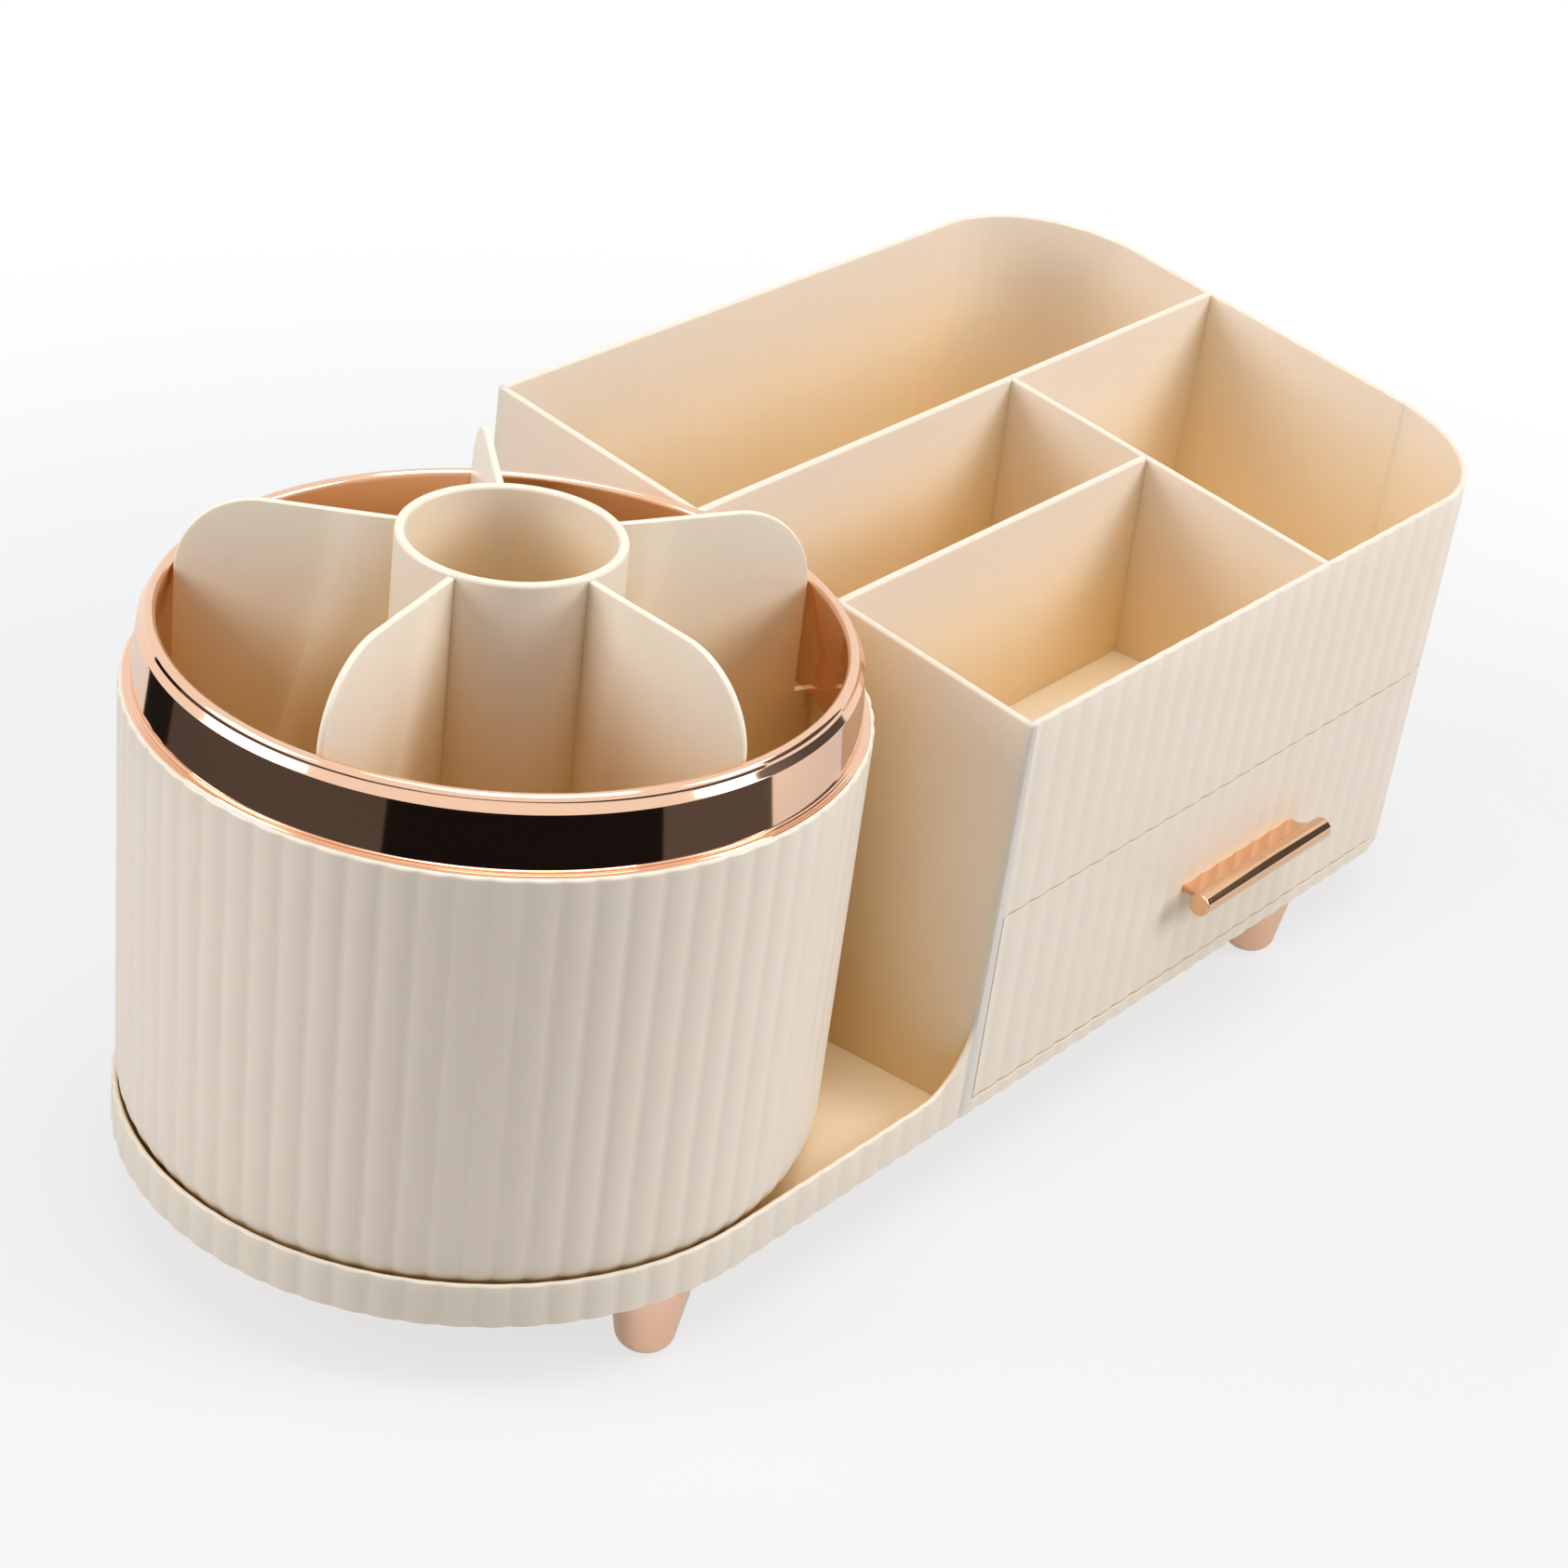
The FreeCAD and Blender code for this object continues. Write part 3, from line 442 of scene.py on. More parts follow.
@dataclass(frozen=True)
class MouldedPlastic(Finish):
    """Satin injection-moulded plastic: faint flow clouds, a fine eggshell grain, and painted shade in enclosed
    places.
    """

    colour: Triple = (0.89, 0.775, 0.625)
    warm: Triple = (0.88, 0.755, 0.595)
    # painted shade: the colour that enclosed places are multiplied by
    painted_shade_tint: Triple = (0.94, 0.79, 0.46)
    roughness: float = 0.36
    glow: float = 0.22
    grain: float = 0.00002

    def build(self, book: NodeBook) -> None:
        """Fill the node tree.

        The colour drifts between two ivories, and the gloss drifts with it. Enclosed places, by the share of open
        room within 0.1 m, are multiplied by the painted shade tint: painted shade that stands in for light that
        has met the plastic many times. A little light goes through the surface.

        Args:
            book: the material's nodes.
        """
        where = book.place()
        clouds = book.noise(where, 9.0, 3.0, 0.55)
        room = book.add("ShaderNodeAmbientOcclusion", Distance=0.1)
        room.samples = 8
        # painted shade: the less open room within 0.1 m, the more of the painted shade tint
        depth = book.spread(room.outputs["AO"], 1.0, 0.0, span=(0.06, 0.52), smooth=True)
        ivory = book.blend(clouds, self.colour, self.warm)
        fine = book.noise(where, 1400.0, 2.0, 0.6)
        book.finish(book.add(
            "ShaderNodeBsdfPrincipled", IOR=1.49, Subsurface_Weight=self.glow,
            Subsurface_Radius=(1.0, 0.6, 0.28), Subsurface_Scale=0.002,
            Base_Color=book.blend(depth, ivory, self.painted_shade_tint, "MULTIPLY"),
            Roughness=book.spread(clouds, self.roughness - 0.05, self.roughness + 0.07),
            Normal=book.bump(fine, 0.35, self.grain)))


@dataclass(frozen=True)
class PlatedGold(Finish):
    """Bright rose-gold plating, with faint ripples from the moulding below."""

    colour: Triple = (0.93, 0.62, 0.44)
    deep: Triple = (0.89, 0.56, 0.38)
    roughness: float = 0.06
    ripple: float = 0.00004

    def build(self, book: NodeBook) -> None:
        """Fill the node tree: tint and gloss drift slowly, over a long soft ripple.

        Args:
            book: the material's nodes.
        """
        where = book.place()
        drift = book.noise(where, 28.0, 2.0)
        book.finish(book.add(
            "ShaderNodeBsdfPrincipled", Metallic=1.0, Base_Color=book.blend(drift, self.colour, self.deep),
            Roughness=book.spread(drift, self.roughness - 0.03, self.roughness + 0.05),
            Normal=book.bump(book.noise(where, 60.0, 0.0), 0.4, self.ripple)))


@dataclass(frozen=True)
class TurnedSteel(Finish):
    """Zinc-plated or polished steel with fine tool marks."""

    colour: Triple = (0.62, 0.62, 0.64)
    roughness: float = 0.28
    marks: float = 0.00003

    def build(self, book: NodeBook) -> None:
        """Fill the node tree: one fine noise runs in the gloss and in the surface.

        Args:
            book: the material's nodes.
        """
        marks = book.noise(book.place(), 900.0, 3.0)
        book.finish(book.add(
            "ShaderNodeBsdfPrincipled", Metallic=1.0, Base_Color=(*self.colour, 1),
            Roughness=book.spread(marks, self.roughness - 0.1, self.roughness + 0.1),
            Normal=book.bump(marks, 0.3, self.marks)))


IVORY = MouldedPlastic("ivory_moulding")
# the same plastic with a lighter colour where walls are thin: painted light standing in for the light they let
# through, and a deeper painted shade tint
PAINTED_LIGHT_IVORY = MouldedPlastic("ivory_painted_light_moulding", colour=(0.955, 0.838, 0.665), warm=(0.945, 0.818, 0.635),
                            painted_shade_tint=(0.86, 0.69, 0.37))
ACETAL = MouldedPlastic("acetal", colour=(0.80, 0.80, 0.78), warm=(0.77, 0.77, 0.75),
                        painted_shade_tint=(1.0, 0.99, 0.97), roughness=0.45, glow=0.0)
ROSE_PLATE = PlatedGold("rose_gold_plating")
ROSE_METAL = PlatedGold("rose_gold_casting", colour=(0.85, 0.54, 0.34), deep=(0.81, 0.49, 0.29), roughness=0.08)
STEEL = TurnedSteel("zinc_steel")
BALL_STEEL = TurnedSteel("ball_steel", colour=(0.7, 0.7, 0.72), roughness=0.14)


# --------------------------------------------------------------------------- the case's plan


@dataclass
class CasePlan:
    """The outline that the case, drawer and compartments share; lengths in mm."""

    half_width: float = 65.0
    draft: float = 0.0119
    end_face: float = 155.0
    end_lean: float = 0.062
    front_r: float = 29.0
    back_r: float = 31.5
    drum_x: float = -90.8487
    start_x: float = -19.1
    base_z: float = 15.0
    floor_z: float = 17.0
    rim_mid_z: float = 107.8
    rim_slope: float = 0.15
    side_x: float = -25.0
    side_draft: float = 0.031
    side_low: float = 3.2
    side_rim: float = 1.5
    wall_low: float = 2.1
    wall_rim: float = 1.4
    tray_wall: float = 1.2
    flute_depth: float = 0.3
    runs: tuple[int, int, int] = (22, 47, 56)  # flutes on the front, round the end, round the tray
    per_flute: int = 8

    def half(self, z: Number) -> Array:
        """Half width over the crests at height z."""
        return self.half_width + self.draft * (np.asarray(z) - self.rim_mid_z)

    def end_x(self, z: Number) -> Array:
        """Crest line of the end wall at height z."""
        return self.end_face + self.end_lean * (np.asarray(z) - self.rim_mid_z)

    def rise(self, z: Number) -> Array:
        """Share of the way from the floor to the rim."""
        return (np.asarray(z) - self.floor_z) / (self.rim_mid_z - self.floor_z)

    def wall(self, z: Number) -> Array:
        """Thickness of the box wall from its crests."""
        return self.wall_low + (self.wall_rim - self.wall_low) * self.rise(z)

    def side_outer(self, z: Number) -> Array:
        """The drum's side of the side wall."""
        return self.side_x + self.side_draft * (np.asarray(z) - self.floor_z)

    def side_inner(self, z: Number) -> Array:
        """The box's side of the side wall."""
        return self.side_outer(z) + self.side_low + (self.side_rim - self.side_low) * self.rise(z)

    def lengths(self, z: Number) -> tuple[list[Array], Array]:
        """Lengths along the outline, from the first valley of the front, counter-clockwise.

        Args:
            z: height.

        Returns:
            The lengths of its eight pieces, and the distances of their ends.
        """
        half, end = self.half(z), self.end_x(z)
        tray = np.broadcast_to(self.start_x - self.drum_x, np.shape(z))
        parts = [end - self.front_r - self.start_x, self.front_r * math.pi / 2 + 0 * half,
                 2 * half - self.front_r - self.back_r, self.back_r * math.pi / 2 + 0 * half,
                 end - self.back_r - self.start_x, tray, math.pi * half, tray]
        return parts, np.cumsum(np.stack(parts), axis=0)

    def at(self, u: Number, z: Number, inset: Number = 0.0, depth: Number = 0.0) -> Array:
        """Points of the outline.

        The outline is four straights and three arcs run counter-clockwise. A flute number u
        is turned into a distance along it, evenly in each run of flutes. The point moves in
        along the normal by inset, and by depth times (2f - 1) squared, where f is the share
        of the way across its flute, so that convex reeds meet in valleys.

        Args:
            u: flute number, 0 at the first valley of the box's front.
            z: height.
            inset: distance inside the crests.
            depth: depth of the valleys.

        Returns:
            Array of shape (..., 3).
        """
        u, z, inset, depth = np.broadcast_arrays(*(np.asarray(a, float) for a in (u, z, inset, depth)))
        parts, ends = self.lengths(z)
        total = sum(self.runs)
        k = np.mod(u, total)
        a, b = self.runs[0], self.runs[0] + self.runs[1]
        along = np.where(k < a, k / a * ends[0], np.where(
            k < b, ends[0] + (k - a) / (b - a) * (ends[4] - ends[0]),
            ends[4] + (k - b) / (total - b) * (ends[7] - ends[4])))
        half, end = self.half(z), self.end_x(z)
        front, back = self.front_r, self.back_r
        tests = [along <= ends[i] for i in range(7)]
        s = [along - (ends[i] - parts[i]) for i in range(8)]
        arc1, arc3, arc6 = s[1] / front - math.pi / 2, s[3] / back, s[6] / half + math.pi / 2
        zero, one = np.zeros_like(z), np.ones_like(z)
        base_x = [self.start_x + s[0], end - front, end, end - back, end - back - s[4],
                  self.start_x - s[5], self.drum_x * one]
        base_y = [-half, -half + front, -half + front + s[2], half - back, half, half, zero]
        normal_x = [zero, np.cos(arc1), one, np.cos(arc3), zero, zero, np.cos(arc6)]
        normal_y = [-one, np.sin(arc1), zero, np.sin(arc3), one, one, np.sin(arc6)]
        reach = [zero, front * one, zero, back * one, zero, zero, half]
        x, nx = np.select(tests, base_x, self.drum_x + s[7]), np.select(tests, normal_x, zero)
        y, ny = np.select(tests, base_y, -half), np.select(tests, normal_y, -one)
        f = k - np.floor(k)
        out = np.select(tests, reach, zero) - inset - depth * (2 * f - 1) ** 2
        return np.stack([x + nx * out, y + ny * out, z], -1)

    def tray_pitch(self, z: Number) -> Array:
        """Pitch of the flutes on the tray's run at height z."""
        _, ends = self.lengths(np.asarray(z, float))
        return (ends[7] - ends[4]) / self.runs[2]

    def box_pitch(self, z: Number) -> Array:
        """Pitch of the flutes on the box's front at height z."""
        return (self.end_x(z) - self.front_r - self.start_x) / self.runs[0]

    def u_front(self, x: Number, z: Number) -> Array:
        """Flute number on the front: distance from the first valley over the pitch there.

        Args:
            x: place along the front.
            z: height.

        Returns:
            The number, negative on the drum's side of the first valley.
        """
        d = np.asarray(x, float) - self.start_x
        return np.where(d < 0, d / self.tray_pitch(z), d / self.box_pitch(z))

    def u_back(self, x: Number, z: Number) -> Array:
        """Flute number on the back: the last box valley's, and the distance past it over the pitch.

        Args:
            x: place along the back, on the drum's side of the last box valley.
            z: height.

        Returns:
            The number.
        """
        return self.runs[0] + self.runs[1] + (self.start_x - np.asarray(x, float)) / self.tray_pitch(z)

    def u_front_corner(self, y: float, z: Number) -> Array:
        """Flute number on the front corner: length of its arc up to y over the pitch of the end's run.

        Args:
            y: place across the case.
            z: height.

        Returns:
            The number.
        """
        z = np.asarray(z, float)
        _, ends = self.lengths(z)
        angle = np.arcsin((y + self.half(z) - self.front_r) / self.front_r)
        along = self.front_r * (angle + math.pi / 2)
        return self.runs[0] + along * self.runs[1] / (ends[4] - ends[0])

    def steps(self, low: float, high: float) -> Array:
        """Columns of a band: its ends, and between them every valley, crest and step of a flute.

        Args:
            low: first flute number.
            high: last flute number.

        Returns:
            Flute numbers in rising order.
        """
        near = 1e-6
        first, last = low * self.per_flute + near, high * self.per_flute - near
        inner = np.arange(math.ceil(first), math.floor(last) + 1)
        return np.concatenate([[low], inner / self.per_flute, [high]])

    def follow(self, steps: Array, start: Edge, stop: Edge, lead: int = 0, tail: int = 0) -> Edge:
        """Let the two ends of a band lean.

        The flute number of a column at height z is base + a (start(z) - first step) + b
        (stop(z) - last step). The share a falls evenly from 1 over the lead columns to 0 at
        the first step, and b rises evenly from 0 at the last step to 1 over the tail columns.
        With no lead or tail, the step at that end moves alone.

        Args:
            steps: flute numbers of the columns between.
            start: flute number of the first edge.
            stop: flute number of the last edge.
            lead: columns before the steps.
            tail: columns after the steps.

        Returns:
            Flute numbers of all the columns, as a function of heights.
        """
        count = len(steps)
        a = np.concatenate([1 - np.linspace(0, 1, lead + 1)[:-1], np.zeros(count + tail)])
        b = np.concatenate([np.zeros(lead + count), np.linspace(0, 1, tail + 1)[1:]])
        if not lead:
            a[0] = 1.0
        if not tail:
            b[-1] = 1.0
        base = np.concatenate([np.full(lead, steps[0]), steps, np.full(tail, steps[-1])])
        a, b, base = a[:, None], b[:, None], base[:, None]

        def columns(z: Array) -> Array:
            """Flute numbers at heights z."""
            return base + a * (start(z) - steps[0]) + b * (stop(z) - steps[-1])

        return columns

    def rim_z(self, xyz: Array) -> Array:
        """Height of the sloping rim over points."""
        return self.rim_mid_z + self.rim_slope * xyz[..., 1]

    def rim_over(self, u: Array) -> Array:
        """Height of the rim over flute numbers, at mid wall."""
        z = self.rim_z(self.at(u, self.rim_mid_z, self.wall_rim / 2))
        return self.rim_z(self.at(u, z, self.wall_rim / 2))


@dataclass
class WallBand:
    """A thin wall along the outline: fluted outside, plain inside, closed all round.

    Its section is run outside up, over the rounded top, inside down and under the bottom.
    The share w of fluted outer skin falls from 1 to 0 across the rounds, as (1 + cos t) / 2,
    and a point lies (1 - w) wall thicknesses inside the crests. Where the top edge curves,
    its rounds sink along the edge's own normal.
    """

    plan: CasePlan
    u_at: Edge
    low: Array
    high: Array
    inner: Callable[[Array], Array]
    top_r: float = 0.0
    bottom_r: float = 0.0
    rows: int = 6
    ghost: float = 0.0  # depth of the flutes' faint trace on the inside
    edge_normal: Optional[Array] = None  # z part of the top edge's normal, for each column
    edge_scale: Optional[Array] = None  # its part along the outline, in flutes for each mm
    top_steps: int = 9
    bottom_steps: int = 7

    def section(self) -> tuple[Array, Array, Array]:
        """Work out the section in every column.

        Returns:
            Heights, outer-skin shares and shifts along the outline, of shape (columns, section).
        """
        low, high = self.low[:, None], self.high[:, None]
        share = np.linspace(0, 1, self.rows)[None, :]
        rt, rb = self.top_r, self.bottom_r
        normal_z = np.full_like(high, -1.0) if self.edge_normal is None else self.edge_normal[:, None]
        normal_u = np.zeros_like(high) if self.edge_scale is None else self.edge_scale[:, None]
        outer_z = low + rb + (high + normal_z * rt - low - rb) * share
        outer_du = normal_u * rt * share
        over, drop = half_turn(self.top_steps if rt > 0 else 2)
        under, lift = half_turn(self.bottom_steps if rb > 0 else 2)
        top_z, top_du = high + normal_z * rt * drop, normal_u * rt * drop
        bottom_z = low + rb * lift
        z = np.hstack([outer_z, top_z, outer_z[:, ::-1], bottom_z])
        du = np.hstack([outer_du, top_du, outer_du[:, ::-1], 0 * bottom_z])
        one = np.ones_like(outer_z)
        w = np.hstack([one, 1 - over + 0 * high, 0 * one, under + 0 * low])
        return z, w, du

    def add_to(self, surface: Surface) -> None:
        """Add the band and its end caps.

        Args:
            surface: where the band goes.
        """
        z, w, du = self.section()
        u = self.u_at(z) + du
        depth = self.plan.flute_depth * w + self.ghost * (1 - w)
        xyz = self.plan.at(u, z, (1 - w) * self.inner(z), depth)
        surface.grid(xyz, wrap_v=True)
        surface.polygon(xyz[0], flip=True)
        surface.polygon(xyz[-1])


# --------------------------------------------------------------------------- the case


@dataclass
class Case:
    """One moulding: tray, box walls, side wall, drawer opening and its rails and stops."""

    plan: CasePlan = field(default_factory=CasePlan)
    tray_rim: float = 23.6
    tray_edge_r: float = 0.55
    sweep_r: float = 14.0
    sill_z: float = 17.8
    sill_r: float = 0.25
    seam_z: float = 57.9
    ledge_z: float = 59.4
    ledge: float = 1.2
    opening_y: float = -37.2
    rim_r: float = 0.6
    rail_x: tuple[float, float] = (0.0, 118.0)
    rail_y: tuple[float, float] = (-57.0, 58.5)
    rail_width: float = 3.0
    stop_x: tuple[float, float] = (10.0, 110.0)
    arm_y: tuple[float, float] = (-63.0, -43.5)
    arm_half: float = 1.0
    tooth_half: float = 2.5
    tooth: float = 2.0
    tooth_drop: float = 2.7
    boss: tuple[float, float, float] = (5.06, 9.0, 11.5)  # bore radius, radius and lower end
    boss_top: float = 22.8
    boss_edge: tuple[float, float] = (0.4, 0.3)  # chamfers below and above
    hair: float = 0.35
    corner_r: float = 0.5
    corner_steps: int = 7
    ghost: float = 0.09
    sunk: float = 0.3
    slab_sunk: float = 0.4
    slab_lap: float = 0.01  # how far the slab's ends stay under the fluted skin
    ledge_x: tuple[float, float] = (-21.6, -19.2)  # the ledge's run along the side wall
    ledge_y: float = 61.0
    ledge_start: float = -20.5
    mid_z: float = 80.0  # heights at which a leaning edge's flute numbers are taken
    upper_z: float = 100.0
    rim_z: float = 108.0
    tray_z: float = 25.0
    end_columns: int = 7

    def corner_u(self, z: Number) -> Array:
        """Flute number of the drawer opening's end at height z."""
        return self.plan.u_front_corner(self.opening_y, z)

    def slab_u(self, z: Number) -> Array:
        """Flute number on the front, a hair inside the side wall's outer face, at height z."""
        return self.plan.u_front(self.plan.side_outer(z) + self.hair, z)

    def front_wall(self, surface: Surface) -> None:
        """Add the front wall over the drawer, from the side wall to the opening's end.

        Args:
            surface: where the wall goes.
        """
        plan, upper = self.plan, self.upper_z
        steps = plan.steps(0.0, float(self.corner_u(self.mid_z)))
        u_at = plan.follow(steps, self.slab_u, self.corner_u, lead=self.end_columns)
        lead = 1 - np.linspace(0, 1, self.end_columns + 1)[:-1]
        start = float(plan.u_front(plan.side_outer(upper), upper))
        high = plan.rim_over(np.concatenate([start * lead, steps]))
        low = np.full_like(high, self.seam_z)
        WallBand(plan, u_at, low, high, plan.wall, self.rim_r, ghost=self.ghost).add_to(surface)

    def back_wall(self, surface: Surface) -> None:
        """Add the end wall and the back wall, from the opening's end to the side wall.

        Args:
            surface: where the wall goes.
        """
        plan = self.plan
        steps = plan.steps(float(self.corner_u(self.mid_z)), float(plan.runs[0] + plan.runs[1]))
        u_at = plan.follow(steps, self.corner_u, lambda z: plan.u_back(plan.side_outer(z) + self.hair, z),
                           tail=self.end_columns)
        high = plan.rim_over(u_at(np.full((len(steps) + self.end_columns, 1), self.rim_z))[:, 0])
        low = np.full_like(high, plan.base_z)
        WallBand(plan, u_at, low, high, plan.wall, self.rim_r, rows=9, ghost=self.ghost).add_to(surface)

    def opening_edge(self, surface: Surface) -> None:
        """Add the strip between side wall and drawer, and the sill under the drawer.

        Args:
            surface: where they go.
        """
        plan = self.plan
        share = np.linspace(0, 1, 9)[:, None]

        def strip_u(z: Array) -> Array:
            """Flute numbers of the strip, evenly between the side wall's two faces."""
            return self.slab_u(z) * (1 - share) + plan.u_front(plan.side_inner(z), z) * share

        low, high = np.full(len(share), plan.base_z), np.full(len(share), self.seam_z)
        WallBand(plan, strip_u, low, high, plan.wall).add_to(surface)
        start = float(plan.u_front(plan.side_inner(plan.floor_z), plan.floor_z))
        sill = plan.steps(start, float(self.corner_u(plan.floor_z)))
        low, high = np.full(len(sill), plan.base_z), np.full(len(sill), self.sill_z)
        WallBand(plan, lambda z: sill[:, None] + 0 * z, low, high, plan.wall, self.sill_r, rows=3).add_to(surface)

    def tray(self, surface: Surface) -> None:
        """Add the tray rim round the drum, which rises to the side wall at both ends.

        Where x is within the sweep's radius of the wall, the rim's height is that of a quarter
        circle, mid height - r sqrt(1 - t squared), with t the share of the radius run, and its
        rounds sink along (t, -sqrt(1 - t squared)). The back end is the front end's mirror.

        Args:
            surface: where the rim goes.
        """
        plan, level = self.plan, self.tray_z
        lean = math.atan(plan.side_draft)
        middle_z = self.tray_rim + self.sweep_r
        middle_x = float(plan.side_outer(middle_z)) - self.sweep_r / math.cos(lean)
        end_x = middle_x + self.sweep_r * math.cos(lean)
        arc_x = middle_x + self.sweep_r * np.cos(np.radians(np.linspace(-90, -2, 30)))
        arc_u = np.append(plan.u_front(arc_x, level), plan.u_front(end_x - 0.002, level))
        total, pitch = sum(plan.runs), float(plan.tray_pitch(level))
        flat = plan.steps(float(plan.u_back(middle_x, level)), float(plan.u_front(middle_x, level)) + total)
        between = plan.steps(float(arc_u[0]), float(arc_u[-1]))[1:-1]
        front = np.unique(np.concatenate([arc_u, between]))
        share = np.clip((plan.start_x + front * pitch - middle_x) / self.sweep_r, 0, 1)
        fall = -np.sqrt(1 - share ** 2)
        rise_z = middle_z + self.sweep_r * fall
        mirror = 2 * plan.runs[0] + 2 * plan.runs[1] + plan.runs[2]
        back = (mirror - (front + total))[::-1]

        def join(first: Array, level_part: float, last: Array) -> Array:
            """Values along the whole rim: back sweep, level part, front sweep."""
            return np.concatenate([first[::-1][:-1], np.full(len(flat), level_part), last[1:]])

        u = np.concatenate([back[:-1], flat, (front + total)[1:]])
        band = WallBand(plan, lambda z: u[:, None] + 0 * z, np.full(len(u), plan.base_z),
                        join(rise_z, self.tray_rim, rise_z), lambda z: plan.tray_wall + 0 * z,
                        self.tray_edge_r, rows=5, edge_normal=join(fall, -1.0, fall),
                        edge_scale=join(-share, 0.0, share) / pitch)
        band.add_to(surface)

    def side_wall(self, surface: Surface) -> None:
        """Add the smooth slab between drum and box, carried along Y under the rim plane.

        Its section is a slab with a half-turn top. Near both ends the drum's side draws in by
        corner_r (1 - sin t) while y runs corner_r (1 - cos t) short of the end, so that the
        corner is a quarter round that meets the fluted skin. The end of each row is the skin's
        depth at its height, and the height follows the rim at its y, so both are worked out
        twice over.

        Args:
            surface: where the slab goes.
        """
        plan, rows, between, corner = self.plan, 8, 30, self.corner_steps
        t = np.linspace(0, math.pi / 2, corner)
        draw, short = self.corner_r * (1 - np.sin(t)), self.corner_r * (1 - np.cos(t))[:, None]
        inset = np.concatenate([draw, np.zeros(between), draw[::-1]])[:, None]
        inner = np.linspace(-1, 1, between + 2)[1:-1, None]
        over, dip = half_turn(9)
        share = np.concatenate([np.zeros(rows), over, np.ones(rows)])[None, :]
        climb = np.linspace(0, 1, rows)
        rise = np.concatenate([climb, np.ones(len(over)), climb[::-1]])[None, :]
        drop = self.rim_r * np.concatenate([np.ones(rows), dip, np.ones(rows)])[None, :]
        low = plan.floor_z - self.slab_sunk
        z = low + (plan.rim_mid_z - low) * rise + 0 * inset
        for _ in range(2):
            f = np.mod(-plan.u_front(plan.side_outer(z), z), 1.0)
            end = plan.half(z) - plan.flute_depth * (2 * f - 1) ** 2 - self.slab_lap
            head, body, rear = np.split(end, [corner, corner + between])
            y = np.vstack([-head + short, inner * (body - self.corner_r), rear - short[::-1]])
            z = low + (plan.rim_mid_z + plan.rim_slope * y - drop - low) * rise
        x = (plan.side_outer(z) + inset) * (1 - share) + plan.side_inner(z) * share
        xyz = np.stack([x, y, z], -1)
        surface.grid(xyz, flip=True)
        surface.polygon(xyz[0])
        surface.polygon(xyz[-1], flip=True)

    def floor(self, surface: Surface) -> None:
        """Add the flat floor inside the walls, its underside and the pivot's boss.

        Args:
            surface: where they go.
        """
        plan = self.plan
        u = np.arange(0, sum(plan.runs) * plan.per_flute) / plan.per_flute
        x = plan.at(u, plan.floor_z)[:, 0]
        inset = np.where(x < plan.side_x, plan.tray_wall, plan.wall_low)
        surface.polygon(plan.at(u, plan.floor_z, inset))
        surface.polygon(plan.at(u, plan.base_z, inset), flip=True)
        bore, outer, low = self.boss
        high, (foot_edge, edge) = self.boss_top, self.boss_edge
        profile = np.array([(bore, low), (outer - foot_edge, low), (outer, low + foot_edge),
                            (outer, high - edge), (outer - edge, high), (bore, high), (bore, low)])
        surface.revolve(profile, (plan.drum_x, 0.0), 96)

    def bay(self, surface: Surface) -> None:
        """Add the rails, the stop arms with their teeth, and the ledge under the deck.

        Args:
            surface: where they go.
        """
        plan, seam, top = self.plan, self.seam_z, self.ledge_z
        for x in self.rail_x:
            surface.block((x, self.rail_y[0], plan.floor_z - self.sunk),
                          (x + self.rail_width, self.rail_y[1], self.sill_z))
        for x in self.stop_x:
            near, far = self.arm_y
            surface.block((x - self.arm_half, near, seam), (x + self.arm_half, far, top))
            surface.block((x - self.tooth_half, far - self.tooth, seam - self.tooth_drop),
                          (x + self.tooth_half, far, top))
        start, level = self.ledge_start, 58.0
        u = plan.steps(float(plan.u_front(start, level)), float(plan.u_back(start, level)))
        z = np.array([seam, seam, top, top])
        inset = plan.wall(seam) + np.array([0.0, self.ledge, self.ledge, 0.0])
        surface.grid(plan.at(u[:, None], z[None, :], inset[None, :]), flip=True, wrap_v=True)
        surface.block((self.ledge_x[0], -self.ledge_y, seam), (self.ledge_x[1], self.ledge_y, top))

    def build(self) -> None:
        """Build the moulding and stand it for its node."""
        surface = Surface()
        for part in (self.front_wall, self.back_wall, self.opening_edge, self.tray,
                     self.side_wall, self.floor, self.bay):
            part(surface)
        place(surface.make("case_moulding"), "base", Slot.IVORY.value, IVORY, "case_shell")


